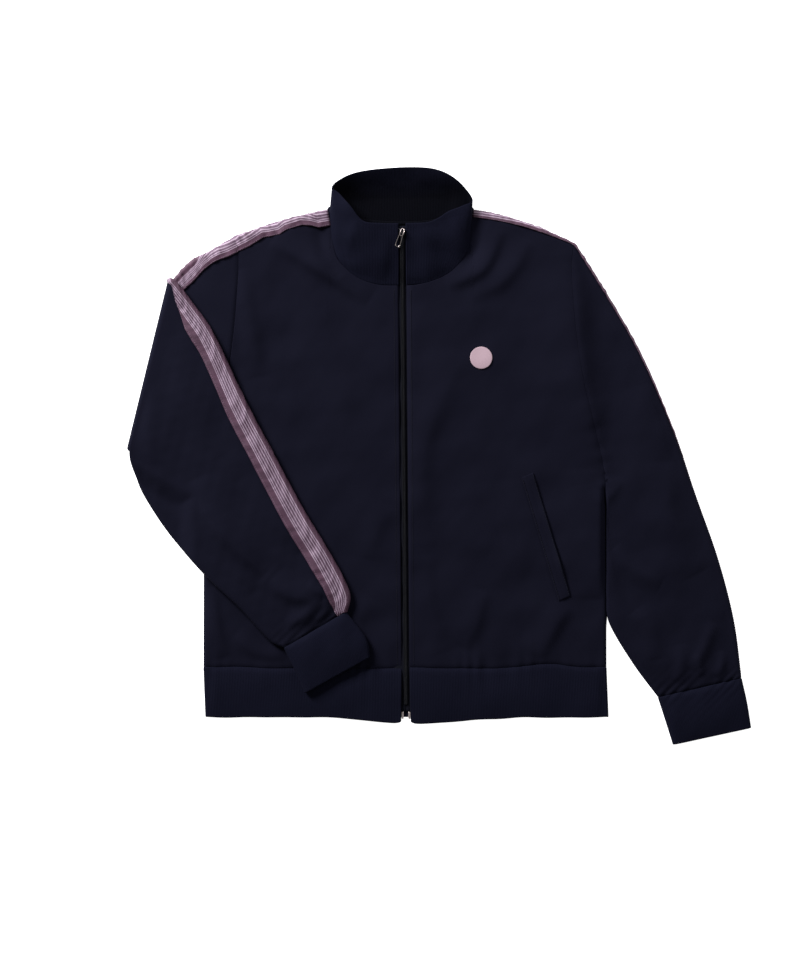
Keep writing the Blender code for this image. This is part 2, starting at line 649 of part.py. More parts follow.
def box(mesh, size, centre, taper=1.0):
    """Adds a box to the mesh; its upper (+Y) end is wider than the lower one by the taper."""
    made = bmesh.ops.create_cube(mesh, size=1.0)["verts"]
    for vertex in made:
        wide = taper if vertex.co.y > 0 else 1.0
        vertex.co = Vector((vertex.co.x * size[0] * wide, vertex.co.y * size[1], vertex.co.z * size[2]))
        vertex.co += Vector(centre)
    return made


def wire_loop(name, points, radius, sides, finish):
    """A closed wire through the points, as a curve with a round section."""
    shape = bpy.data.curves.new(name, "CURVE")
    shape.dimensions = "3D"
    shape.bevel_depth = radius * MM
    shape.bevel_resolution = sides
    line = shape.splines.new("POLY")
    line.points.add(len(points) - 1)
    for point, co in zip(line.points, points):
        point.co = (*(Vector(co) * MM), 1.0)
    line.use_cyclic_u = True
    shape.materials.append(finish)
    made = bpy.data.objects.new(name, shape)
    bpy.context.scene.collection.objects.link(made)
    return made


SLIDER_SIZE = (7.0, 9.0, 2.6)
SLIDER_LIFT = 1.1  # middle of the slider's body above the middle of the front's wall
BAIL_WIDTH = 1.8
BAIL_THICK = 1.1
BAIL_LENGTH = 6.5
BAIL_RISE = 3.6
TAB_SKEW = math.radians(-13)
TAB_LENGTH = 20.0
TAB_TOP_HALF = 2.5
TAB_FOOT_HALF = 3.3
TAB_TOP_CUT, TAB_FOOT_CUT = 0.6, 1.6  # how far its corners are cut across
TAB_WIRE = 0.7
TAB_DROOP = math.radians(6.2)


def slider(finish):
    """The slider's body with the bail that the pull tab swings on, one casting."""
    top = SLIDER_LIFT + SLIDER_SIZE[2] / 2
    mesh = bmesh.new()
    box(mesh, SLIDER_SIZE, (0, 0, SLIDER_LIFT), 1.18)
    body = mesh_object("slider", mesh, finish)
    bail = bmesh.new()
    box(bail, (BAIL_WIDTH, BAIL_LENGTH, BAIL_THICK), (0, 0, top + BAIL_RISE - BAIL_THICK / 2))
    for end in (-1, 1):
        centre = (0, end * (BAIL_LENGTH - BAIL_THICK) / 2, top + BAIL_RISE / 2 - 0.3)
        box(bail, (BAIL_WIDTH, BAIL_THICK, BAIL_RISE + 0.2), centre)
    arch = mesh_object("slider_bail", bail, finish)
    arch.hide_render = True
    arch.display_type = "WIRE"
    join = body.modifiers.new("Bail", "BOOLEAN")
    join.operation = "UNION"
    join.object = arch
    join.use_self = True
    frame = slider_frame()
    body.matrix_world = frame
    arch.matrix_world = frame
    return body


def mesh_object(name, mesh, finish):
    """An object from a bmesh whose points are in millimetres."""
    for vertex in mesh.verts:
        vertex.co *= MM
    data = bpy.data.meshes.new(name)
    mesh.to_mesh(data)
    mesh.free()
    data.materials.append(finish)
    made = bpy.data.objects.new(name, data)
    bpy.context.scene.collection.objects.link(made)
    return made


def pull_tab(finish):
    """The pull tab, a wire loop that hangs from the bail; its origin lies on its swing axis."""
    right = [(TAB_TOP_HALF - TAB_TOP_CUT, 0.0), (TAB_TOP_HALF, -TAB_TOP_CUT)]
    right += [(TAB_FOOT_HALF, TAB_FOOT_CUT - TAB_LENGTH), (TAB_FOOT_HALF - TAB_FOOT_CUT, -TAB_LENGTH)]
    corners = right + [(-x, y) for x, y in reversed(right)]
    made = wire_loop("pull_tab", [(x, y, 0.0) for x, y in corners], TAB_WIRE, 2, finish)
    pivot = SLIDER_LIFT + SLIDER_SIZE[2] / 2 + BAIL_RISE - BAIL_THICK - TAB_WIRE - 0.35
    turn = Matrix.Rotation(TAB_SKEW, 4, "Z") @ Matrix.Rotation(TAB_DROOP, 4, "X")
    made.matrix_world = slider_frame() @ Matrix.Translation((0, 0, pivot * MM)) @ turn
    return made


# Small pieces on the front.


WELT_WIDTH = 16.0
WELT_FOOT = (201.0, 150.5)
WELT_HEAD = (154.0, 306.0)


def on_front(plan, side, out):
    """Plan points laid on one front, this far above the middle of its wall."""
    return lifted(plan, front_z(plan[..., 0], plan[..., 1], side) + out)


TRIM_LIFT = WALL / 2 + SEAM + TRIM_WALL / 2


def welt(name, side, finish):
    """A pocket welt, a strip that leans from the side seam towards the chest."""
    foot, head = np.array(WELT_FOOT), np.array(WELT_HEAD)
    along_it = (head - foot) / np.linalg.norm(head - foot)
    across = np.array([along_it[1], -along_it[0]])
    share, offset = np.meshgrid(np.linspace(0, 1, 10), np.linspace(-0.5, 0.5, 3), indexing="ij")
    plan = foot + (head - foot) * share[..., None] + across * WELT_WIDTH * offset[..., None]
    return cloth(name, on_front(plan * (side, 1), side, TRIM_LIFT), TRIM_WALL, finish)


PATCH_AT = (96.0, 454.0)
PATCH_RADIUS = 14.0


def chest_patch(finish):
    """A plain round patch on the wearer's left chest."""
    side, turn = np.linspace(-1, 1, 7), np.linspace(-1, 1, 7)
    a, b = np.meshgrid(side, turn)
    x, y = a * np.sqrt(1 - b * b / 2), b * np.sqrt(1 - a * a / 2)
    plan = np.stack([PATCH_AT[0] + PATCH_RADIUS * x, PATCH_AT[1] + PATCH_RADIUS * y], axis=-1)
    return cloth("chest_patch", on_front(plan, 1, TRIM_LIFT), TRIM_WALL, finish)


def zip_end(name, side, finish):
    """One metal end piece just below a zip tape, against the band's front edge: the box or the pin."""
    mesh = bmesh.new()
    box(mesh, (END_OUTER - END_INNER, END_LENGTH, END_THICK), (0, 0, 0))
    made = mesh_object(name, mesh, finish)
    y = ZIP_BOTTOM - SEAM - END_LENGTH / 2
    x = zip_x(y) + side * (END_INNER + END_OUTER) / 2
    made.location = to_world((x, y, FRONT_Z - END_THICK / 2 - SEAM))
    return made


def build():
    for old in list(bpy.data.objects):
        bpy.data.objects.remove(old, do_unlink=True)
    navy = material("body_knit", (0.0078, 0.0076, 0.016), 0.85)
    rib = material("rib_knit", (0.006, 0.0062, 0.015), 0.9)
    braid = material("braid_tape", (0.19, 0.12, 0.18), 0.6)
    zip_cloth = material("zip_tape", (0.008, 0.009, 0.013), 0.85)
    coil = material("zip_coil", (0.02, 0.021, 0.026), 0.45)
    metal = material("pull_metal", (0.72, 0.62, 0.6), 0.28, 1.0)
    pink = material("patch_print", (0.54, 0.36, 0.42), 0.7)

    back_panel(navy)
    front_panel("front_left", 1, navy)
    front_panel("front_right", -1, navy)
    hem_band(rib)
    collar(rib)

    parts = spine(LEFT_SLEEVE, LEFT_ROWS)
    away, q = section(parts)
    cloth("sleeve_left", left_sleeve_grid(away, q, parts), WALL, navy, closed=True)
    cuff("cuff_left", LEFT_CUFF, False, rib)
    start = np.linspace(LEFT_TAPE_START, LEFT_TAPE_TOP, SHOULDER_ROWS)
    top = np.concatenate([start, np.full(LEFT_ROWS, LEFT_TAPE_TOP)])
    shoulder_low = np.full(SHOULDER_ROWS, SHOULDER_TAPE_LOW)
    low = np.concatenate([shoulder_low, np.full(LEFT_ROWS, LEFT_TAPE_LOW)])
    tape("tape_left", 1, parts, left_sleeve_grid, top, low, 6, braid)

    parts = right_spine()
    away, q = section(parts)
    cloth("sleeve_right", right_sleeve_grid(away, q, parts), WALL, navy, closed=True)
    cuff("cuff_right", RIGHT_CUFF, True, rib)
    turn = smooth((np.arange(len(parts[0])) - UPPER_ROWS) / (len(BEND_TURNS) + 2))
    start = np.linspace(RIGHT_TAPE_START, RIGHT_TAPE_TOP, SHOULDER_ROWS)
    top = np.concatenate([start, RIGHT_TAPE_TOP - FOLDED_TAPE_TURN * turn])
    low = np.concatenate([shoulder_low, RIGHT_TAPE_LOW - FOLDED_TAPE_GROWTH * turn])
    tape("tape_right", -1, parts, right_sleeve_grid, top, low, 12, braid)

    for name, side in (("zip_tape_left", 1), ("zip_tape_right", -1)):
        inner, outer = side * SEAM / 2, side * ZIP_TAPE_HALF
        zip_strip(name, inner, outer, ZIP_TAPE_DROP, TRIM_WALL, ZIP_BOTTOM, ZIP_TOP, zip_cloth)
    chain_drop = ZIP_TAPE_DROP - TRIM_WALL / 2 - SEAM - CHAIN_THICK / 2
    half = CHAIN_WIDTH / 2
    zip_strip("zip_chain", -half, half, chain_drop, CHAIN_THICK, CHAIN_LOW, CHAIN_HIGH, coil)
    zip_end("zip_box", 1, metal)
    zip_end("zip_pin", -1, metal)
    slider(metal)
    pull_tab(metal)
    welt("welt_left", 1, navy)
    welt("welt_right", -1, navy)
    chest_patch(pink)


build()
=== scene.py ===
"""Looks of a track jacket that lies flat on its back, its right sleeve folded forward over the front.

Lengths are millimetres in the garment's own axes unless a name says otherwise: X across from the middle of
the front (the wearer's left is +X), Y up from the hem, Z up from the surface it lies on. world() turns them
into the frame's metres. Every cloth piece is a grid of points on the middle of its wall, rows along it and
columns across.
"""

import math
from collections import namedtuple

import bpy
import numpy as np
from mathutils import Matrix, Vector

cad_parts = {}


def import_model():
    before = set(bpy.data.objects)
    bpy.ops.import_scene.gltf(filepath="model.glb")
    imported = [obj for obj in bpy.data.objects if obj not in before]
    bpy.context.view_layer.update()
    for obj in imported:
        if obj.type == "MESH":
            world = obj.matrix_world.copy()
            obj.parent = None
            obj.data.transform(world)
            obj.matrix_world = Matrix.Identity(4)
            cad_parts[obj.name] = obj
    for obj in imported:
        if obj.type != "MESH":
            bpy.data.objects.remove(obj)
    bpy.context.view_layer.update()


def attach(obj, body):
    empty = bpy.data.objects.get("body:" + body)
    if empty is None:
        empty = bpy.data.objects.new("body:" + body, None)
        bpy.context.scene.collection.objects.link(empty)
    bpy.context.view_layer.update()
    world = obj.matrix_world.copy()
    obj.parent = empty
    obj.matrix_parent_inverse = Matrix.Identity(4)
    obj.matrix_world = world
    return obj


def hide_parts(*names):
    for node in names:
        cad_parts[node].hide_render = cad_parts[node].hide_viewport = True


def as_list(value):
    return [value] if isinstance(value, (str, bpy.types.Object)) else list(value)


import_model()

# Stage. A pale floor under one large softbox low on the upper left, which draws the folds, with a faint
# one on the right and the world as fill. The camera looks straight down with a long lens, and the view is
# centred a little left of the jacket.

MM = 0.001
IMAGE_TALL = 960
PIXEL = 1.26  # millimetres on the cloth for each pixel of the view
VIEW_CENTRE = (-49.6, -29.6)  # in the frame's axes
VIEW_LEVEL = 8.0  # height that the view is sized for
LENS, SENSOR = 85.0, 36.0


def operator(kind, swapped=False):
    """A method that joins a Shade and another value with this Math node."""

    def apply(self, other):
        return self.finish.math(kind, *((other, self) if swapped else (self, other)))

    return apply


class Shade:
    """A shader socket that takes part in Python arithmetic: every operator adds one Math node."""

    __add__ = __radd__ = operator("ADD")
    __mul__ = __rmul__ = operator("MULTIPLY")
    __sub__, __rsub__ = operator("SUBTRACT"), operator("SUBTRACT", True)
    __gt__, __lt__ = operator("GREATER_THAN"), operator("LESS_THAN")

    def __init__(self, finish, socket):
        self.finish = finish
        self.socket = socket


class Finish:
    """One procedural material for one slot. The constants are set on the shader's own sockets."""

    def __init__(self, name, slot=None, **constants):
        self.slot = slot
        self.material = bpy.data.materials.new(name)
        self.material.use_nodes = True
        self.tree = self.material.node_tree
        self.shader = self.tree.nodes["Principled BSDF"]
        for socket, value in constants.items():
            self.shader.inputs[socket.replace("_", " ")].default_value = value

    def node(self, kind, settings=None, sockets=None, out=0):
        """Adds a node, its settings first and then its sockets' values or links, and returns one output."""
        made = self.tree.nodes.new("ShaderNode" + kind)
        for name, value in (settings or {}).items():
            setattr(made, name, value)
        for name, value in (sockets or {}).items():
            self.feed(made.inputs[name], value)
        return Shade(self, made.outputs[out])

    def feed(self, socket, value):
        """Links a Shade to the socket, or sets the socket's own value."""
        if isinstance(value, Shade):
            self.tree.links.new(value.socket, socket)
        else:
            socket.default_value = value

    def math(self, operation, *values):
        """The result of one Math node."""
        return self.node("Math", {"operation": operation}, dict(enumerate(values)))

    def wave(self, place, pitch=1.0):
        """A sine from 0 to 1 with one wave for each pitch of the place."""
        return self.math("SINE", place * (2 * math.pi / pitch)) * 0.5 + 0.5

    def fold(self, place):
        """How far the place is from the middle of its whole step, 0 to 0.5."""
        return self.math("ABSOLUTE", self.math("FRACT", place) - 0.5)

    def wear(self, **sockets):
        """Feeds the shader's sockets that change over the surface."""
        for name, value in sockets.items():
            self.feed(self.shader.inputs[name.replace("_", " ")], value)

    def lay(self):
        """The cloth's own plan position in millimetres: across it and along it."""
        parts = self.node("SeparateXYZ", None, {0: self.node("UVMap", {"uv_map": LAY_MAP})})
        return parts * (1 / MM), Shade(self, parts.socket.node.outputs[1]) * (1 / MM)

    def mottle(self, size, detail=2.0, lay=False, stretch=(1.0, 1.0, 1.0)):
        """Noise from 0 to 1 whose patches are about this many millimetres wide."""
        spot = self.node("UVMap", {"uv_map": LAY_MAP}) if lay else self.node("TexCoord", None, None, 3)
        spot = self.node("Mapping", None, {"Vector": spot, "Scale": stretch})
        return self.node("TexNoise", None, {"Vector": spot, "Scale": 1 / MM / size, "Detail": detail})

    def mix(self, share, first, second):
        """The first colour at share 0, the second at 1."""
        return self.node("Mix", {"data_type": "RGBA"}, {0: share, 6: first, 7: second}, 2)

    def bump(self, height, depth, strength=1.0):
        """A Normal from a height of 0 to 1 that stands for this many millimetres."""
        return self.node("Bump", None, {"Height": height, "Distance": depth * MM, "Strength": strength})


LAY_MAP = "lay"


def rgb(red, green, blue):
    """A linear colour, opaque."""
    return (red, green, blue, 1.0)


def placed(name, data):
    """A new object with this data, at the origin of the scene."""
    made = bpy.data.objects.new(name, data)
    bpy.context.scene.collection.objects.link(made)
    return made


def softbox(name, towards, distance, size, watts):
    """A square light that stands this way from the middle of the floor and faces it."""
    light = bpy.data.lights.new(name, "AREA")
    light.size = size
    light.energy = watts
    way = Vector(towards).normalized()
    made = placed(name, light)
    made.location = way * distance
    made.rotation_mode = "QUATERNION"
    made.rotation_quaternion = way.to_track_quat("Z", "Y")


WHITE = rgb(1.0, 1.0, 1.0)
FLOOR_HALF, FLOOR_LEVEL = 4.0, -0.0003  # metres
paper = Finish("floor_paper", Roughness=0.9, Specular_IOR_Level=0.1, Emission_Strength=1.0)
paper.wear(Base_Color=rgb(0.93, 0.93, 0.93), Emission_Color=WHITE)
floor = bpy.data.meshes.new("floor")
corners = [(x * FLOOR_HALF, y * FLOOR_HALF, FLOOR_LEVEL) for x, y in ((-1, -1), (1, -1), (1, 1), (-1, 1))]
floor.from_pydata(corners, [], [(0, 1, 2, 3)])
floor.materials.append(paper.material)
placed("floor", floor)

sky = bpy.data.worlds.new("studio")
sky.use_nodes = True
sky.node_tree.nodes["Background"].inputs["Color"].default_value = WHITE
sky.node_tree.nodes["Background"].inputs["Strength"].default_value = 0.16
bpy.context.scene.world = sky
bpy.context.scene.view_settings.view_transform = "Standard"
softbox("key_softbox", (-0.64, 0.66, 0.43), 3.2, 1.0, 198.0)
softbox("fill_softbox", (0.80, 0.40, 0.45), 1.7, 0.8, 8.5)

lens = bpy.data.cameras.new("camera")
lens.lens = LENS
lens.sensor_width = SENSOR
lens.clip_end = 20.0
camera = placed("camera", lens)
camera.location = Vector((*VIEW_CENTRE, VIEW_LEVEL + IMAGE_TALL * PIXEL * LENS / SENSOR)) * MM
bpy.context.scene.camera = camera

# Body. Two fronts and a back cut from a navy polyester double knit with a soft matt face. They are
# overlocked together inside, so each seam shows as a narrow groove, with faint puckers beside it.

MIDDLE = (43.3, 329.5)  # garment X and Y of the frame's origin
WALL = 1.5
SEAM = 0.3  # gap between pieces that are sewn together
FRONT_Z, EDGE_Z, BACK_Z = 5.0, 1.9, WALL / 2  # middle of the wall: the front, its folded edges, the back
ROLL = 4.0  # width over which a folded edge rolls down
SIDE_X = 253.5
UNDERARM_Y = 287.0
HEM_TOP = 62.0
ZIP_HALF = 5.0  # half the gap between the fronts
ZIP_TILT, ZIP_FOOT_X = -0.0083, 1.3  # the front line leans to the wearer's right on its way up
NECK_GAP = 0.8
ARM_GAP, ARM_EXTRA = 0.15, 0.4  # between body and sleeve, and more of it at both ends
ARM_LENGTH = 340.0
SHOULDER_LENGTH = 130.0
SIDE_FADE, TOP_FADE, SLACK_FADE, SEAM_FADE = 8, 16, 12, 8  # how far from the edges the relief fades in
HEM_GATHERS, ARM_GATHERS = (11, 19, 0.7, 15), (13, 23, 0.35, 11)  # seed, pitch, height and reach
ARM_GROOVE = (0.35, 3.4)
HEM_RISES = ((4.0, 185, 45), (1.5, -215, 40))  # height, place and reach of the waves in the hem's seam
TUCK = 1.7  # how far a seam allowance steps inwards under its neighbour
TUCK_REACH = (4.0, 2.6, 0.8)  # and how far its rows run back from there
EDGE_THIN = (0.45, 0.85)  # share of the wall that is left at an open edge, and one step further in
SHOULDER_BOW = {1: 6.0, -1: 3.0}  # rise of each shoulder seam above a straight line
RIGHT_TIP_RISE = 9.0  # the tip of the wearer's right shoulder lies this much higher than the left one
STEP = 2.7  # spacing of the grids' points on what shows
HIDDEN_STEP = 7.0


def table(kind, *rows):
    """The rows with the names of the kind's columns."""
    return [kind(*row) for row in rows]


Station = namedtuple("Station", "seam_x seam_y seam_z edge_x edge_y edge_z")
COLLAR = table(
    Station,  # from the zip, round the wearer's right side, the back and the left side, to the zip
    (-8, 546, 5.0, -9, 622, 20.5),
    (-32, 547, 5.0, -32, 622, 23),
    (-54, 553, 5.0, -53, 625, 25.5),
    (-73, 566, 5.1, -69, 644, 25),
    (-88, 588, 5.2, -82, 659, 22),
    (-94, 640, 3.9, -91, 668, 19),
    (-80, 637, 2.7, -79, 679, 17),
    (-50, 629, 1.1, -54, 688, 16),
    (-6, 626, 1.1, -4, 693, 15.5),
    (38, 629, 1.1, 37, 691, 16),
    (67, 637, 2.7, 65, 677, 17),
    (83, 640, 3.9, 84, 653, 16.5),
    (80, 600, 5.2, 73, 645, 15.5),
    (73, 581, 5.1, 55, 638, 14.5),
    (57, 563, 5.0, 43, 630, 16),
    (32, 551, 5.0, 29, 624, 18.5),
    (8, 546, 5.0, 8, 622, 20.5),
)
RIGHT_END, LEFT_END = 5, 11  # the stations where the shoulder seams meet the collar
RIGHT_CORNER, LEFT_CORNER = RIGHT_END / (len(COLLAR) - 1), LEFT_END / (len(COLLAR) - 1)

Plan = namedtuple("Plan", "x y")
ARMHOLE = table(
    Plan,  # from the underarm to the shoulder tip, on the wearer's left
    (253, 287),
    (249, 325),
    (237, 375),
    (225, 426),
    (217, 476),
    (212, 527),
    (210, 570),
    (213, 597),
)

Crease = namedtuple("Crease", "x0 y0 x1 y1 x2 y2 height left right")
LEFT_CREASES = table(
    Crease,  # left and right are the widths of the flanks on either side of the run
    (73, 460, 24, 345, 23, 215, 3.2, 14, 24),
    (28, 205, 31, 140, 52, 84, 2.6, 11, 20),
    (100, 160, 88, 118, 74, 88, 3.0, 10, 18),
    (168, 76, 187, 114, 206, 142, 3.4, 18, 10),
    (122, 616, 98, 566, 52, 545, 4.6, 8, 12),
    (156, 602, 128, 556, 80, 530, 3.4, 10, 18),
    (92, 634, 90, 596, 72, 566, -2.4, 8, 7),
    (247, 300, 222, 430, 212, 590, 4.6, 44, 14),
    (240, 366, 220, 450, 214, 560, 2.6, 30, 18),
    (262, 300, 262, 420, 234, 572, -3.4, 20, 30),
    (247, 312, 245, 235, 246, 150, 5.2, 6, 44),
    (244, 266, 258, 281, 272, 299, 2.0, 12, 7),
    (328, 322, 334, 252, 372, 184, 4.6, 14, 26),
    (262, 226, 276, 170, 296, 126, -2.0, 16, 10),
    (264, 214, 288, 186, 322, 168, 3.0, 10, 13),
    (292, 136, 311, 108, 318, 74, 2.6, 11, 14),
    (362, 60, 376, 86, 390, 120, 3.0, 8, 8),
    (392, 52, 399, 64, 400, 84, 2.2, 6, 6),
    (340, 46, 348, 66, 346, 92, 2.0, 7, 8),
    (372, 52, 372, 64, 366, 80, 1.6, 5, 5),
    (300, 420, 318, 360, 322, 300, 2.0, 16, 26),
    (140, 300, 150, 230, 130, 160, 1.4, 22, 30),
    (60, 250, 92, 220, 120, 226, 1.2, 18, 22),
)
RIGHT_CREASES = table(
    Crease,
    (-168, 602, -116, 571, -46, 526, 5.4, 20, 9),
    (-106, 634, -104, 590, -80, 556, -2.6, 9, 9),
    (-206, 566, -197, 500, -184, 430, 3.6, 12, 16),
    (-240, 566, -237, 540, -229, 512, 1.8, 5, 6),
    (-228, 560, -221, 500, -222, 440, 2.6, 8, 8),
    (-22, 268, -38, 236, -46, 200, 2.4, 12, 16),
    (-244, 165, -238, 120, -228, 76, 3.0, 7, 12),
    (-214, 104, -190, 84, -150, 78, 2.2, 12, 8),
    (-60, 470, -84, 400, -76, 330, 1.3, 20, 26),
    (-40, 150, -62, 118, -60, 76, 2.0, 12, 14),
)


def world(points):
    """Garment millimetres to metres in the frame's axes."""
    return (np.asarray(points, float) - (*MIDDLE, 0.0)) * MM


def smooth(x):
    """0 below 0, 1 above 1, an S-curve between."""
    x = np.clip(x, 0.0, 1.0)
    return x * x * (3.0 - 2.0 * x)


def stacked(*parts):
    """Coordinates as one array of points."""
    return np.stack(np.broadcast_arrays(*parts), axis=-1)


def unit(vectors):
    """The vectors at length one."""
    return vectors / np.linalg.norm(vectors, axis=-1, keepdims=True)


def run_of(points, axis=0):
    """Distance travelled along the points from the first one."""
    steps = np.linalg.norm(np.diff(points, axis=axis), axis=-1)
    start = np.zeros_like(np.take(steps, [0], axis=axis))
    return np.concatenate([start, np.cumsum(steps, axis=axis)], axis=axis)


def read(at, run, rows):
    """The rows, which lie at these distances, read at other ones, with straight lines between."""
    return stacked(*(np.interp(at, run, column) for column in rows.T))


def curve(rows, t):
    """Points at shares t of the smooth curve through evenly stepped rows, by Hermite's cubic pieces."""
    rows = np.asarray(rows, float)
    slope = np.gradient(rows, axis=0)
    place = np.clip(np.asarray(t, float), 0.0, 1.0) * (len(rows) - 1)
    i = np.minimum(place.astype(int), len(rows) - 2)
    f = (place - i)[..., None]
    near = (1 + 2 * f) * (1 - f) ** 2 * rows[i] + f * (1 - f) ** 2 * slope[i]
    return near + f * f * (3 - 2 * f) * rows[i + 1] - f * f * (1 - f) * slope[i + 1]


def along(rows, shares):
    """Points at shares of the length of the curve through the rows."""
    fine = curve(rows, np.linspace(0, 1, 240))
    run = run_of(fine)
    return read(np.asarray(shares, float) * run[-1], run, fine)


def nearest(x, y, line, closed=False):
    """Distance of each point from a line of plan points, plus on its left, and how far along it that is, by
    its share of the line's pieces."""
    line = np.asarray(line, float)[:, :2]
    ends = np.roll(line, -1, axis=0) if closed else line[1:]
    starts = line if closed else line[:-1]
    step = ends - starts
    gap = stacked(x, y)[..., None, :] - starts
    t = np.clip((gap * step).sum(-1) / (step * step).sum(-1), 0, 1)
    away = np.linalg.norm(gap - t[..., None] * step, axis=-1)
    i = away.argmin(axis=-1)[..., None]
    left = step[..., 0] * gap[..., 1] - step[..., 1] * gap[..., 0]
    away = np.take_along_axis(away * np.where(left < 0, -1, 1), i, -1)[..., 0]
    return away, (np.take_along_axis(t, i, -1)[..., 0] + i[..., 0]) / len(starts)


def arch(share, power=1.0):
    """0 at shares 0 and 1, 1 half way, a sine raised to the power between."""
    return np.sin(np.pi * np.clip(share, 0.0, 0.9999)) ** power


def relief(x, y, creases):
    """Summed height of the creases. Each is a bell across its curved run, exp(-(distance / flank)^2), with
    its own flank on either side, and fades at both ends."""
    height = np.zeros(np.shape(x))
    for crease in creases:
        run = [(crease.x0, crease.y0), (crease.x1, crease.y1), (crease.x2, crease.y2)]
        away, place = nearest(x, y, curve(run, np.linspace(0, 1, 13)))
        width = np.where(away > 0, crease.left, crease.right)
        height += crease.height * np.exp(-((away / width) ** 2)) * arch(place, 0.7)
    return height


def rumple(x, y, seed, size, height):
    """Soft unevenness of the cloth: a sum of seeded waves of about this size, running every way."""
    draw = np.random.default_rng(seed)
    total = 0.0 * (x + y)
    for turn, wave, start in draw.uniform((0, 0.6, 0), (np.pi, 1.8, 2 * np.pi), (12, 3)):
        total += np.sin(2 * np.pi * (x * np.cos(turn) + y * np.sin(turn)) / (wave * size) + start)
    return height * total / math.sqrt(6)  # the root mean square of twelve sines


def slack(x, y):
    """The unevenness that the body and the sleeves share."""
    return rumple(x, y, 3, 75, 0.45) + rumple(x, y, 4, 24, 0.08)


def pucker(run, away, seed, pitch, height, deep):
    """Small gathers beside a seam: uneven waves along it that die out this far from it."""
    wave = np.sin(2 * np.pi * run / pitch + rumple(run, 0 * run, seed, 5 * pitch, 1.4))
    uneven = 0.6 + rumple(run, 0 * run, seed + 1, 6 * pitch, 0.5)
    return height * wave * uneven * np.exp(-np.abs(away) / deep)


def groove(away, depth=1.1, width=2.4):
    """How far the wall sinks this far from a seam."""
    return -depth * np.exp(-((away / width) ** 2))


def crowded(length, step, edge=(0.0, 0.4, 1.1, 2.2), finish=(0.0, 0.4, 1.1, 2.2)):
    """Shares of a length: even steps, with closer ones at both ends so that the edges can be rounded."""
    count = max(2, round((length - edge[-1] - finish[-1]) / step))
    inner = np.linspace(edge[-1], length - finish[-1], count + 1)
    return np.concatenate([edge[:-1], inner, length - np.array(finish[-2::-1])]) / length


ROLL_STEPS = (0.0, 0.2, 0.6, 1.3, 2.4, 4.0)


def normals(grid, closed):
    """Unit normals of a grid; closed joins each row's ends."""
    ring = np.concatenate([grid[:, -1:], grid, grid[:, :1]], axis=1) if closed else grid
    across = np.gradient(ring, axis=1)
    across = across[:, 1:-1] if closed else across
    return unit(np.cross(across, np.gradient(grid, axis=0)))


def wrapped(grid, closed):
    """The grid with its first column repeated at the end where it is closed."""
    return np.concatenate([grid, grid[:, :1]], axis=1) if closed else grid


def tucked(grid, inward, closed=False):
    """The grid with a seam allowance before its first row: a step in along the normals, and back."""
    step = grid[0] + inward * TUCK * normals(grid, closed)[0]
    back = unit(grid[0] - grid[3])
    return np.concatenate([[step + back * reach for reach in TUCK_REACH], grid])


def piece_of(name, points, quads, finish, spots=None, node=None, body="jacket"):
    """An object from garment points and quads that rides on its body, in place of the node if one is named.
    The spots are its corners' places on the cloth in millimetres."""
    mesh = bpy.data.meshes.new(name)
    mesh.from_pydata(world(points), [], quads)
    mesh.materials.append(finish.material)
    if spots is not None:
        layer = mesh.uv_layers.new(name=LAY_MAP)
        layer.uv.foreach_set("vector", (spots * MM).astype(np.float32).ravel())
    mesh.shade_smooth()
    made = placed(name, mesh)
    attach(made, body)
    if node:
        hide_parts(node)
    return made


def skins(grid, thickness, closed):
    """Points of the two skins, moved out along the grid's normals, and less at the open edges, so that
    these look rounded."""
    thin = np.ones(grid.shape[:2])
    for k, share in enumerate(EDGE_THIN):
        thin[[k, -1 - k]] *= share
        if not closed:
            thin[:, [k, -1 - k]] *= share
    out = normals(grid, closed) * (thickness / 2) * thin[..., None]
    return np.concatenate([(grid + out).reshape(-1, 3), (grid - out).reshape(-1, 3)])


def quads_of(index):
    """The quads between a grid of point numbers."""
    return np.stack([index[:-1, :-1], index[:-1, 1:], index[1:, 1:], index[1:, :-1]], axis=-1).reshape(-1, 4)


def wall_of(index, closed):
    """The quads of one skin and the steps along its open edges."""
    edges = [index[0], index[-1, ::-1]]
    if not closed:
        edges = [np.concatenate([index[0], index[1:, -1], index[-1, -2::-1], index[-2::-1, 0]])]
    return quads_of(index), np.concatenate([np.stack([edge[:-1], edge[1:]], axis=-1) for edge in edges])


def cut_of(grid, closed):
    """Width, length and area of the flat cut of a cloth grid, in metres."""
    flat = wrapped(grid, closed)
    width = run_of(flat, 1)[:, -1].max()
    length = run_of(flat, 0)[-1].max()
    across, up = np.diff(flat, axis=1)[:-1], np.diff(flat, axis=0)[:, :-1]
    area = np.linalg.norm(np.cross(across, up), axis=-1).sum()
    return width * MM, length * MM, area * MM * MM


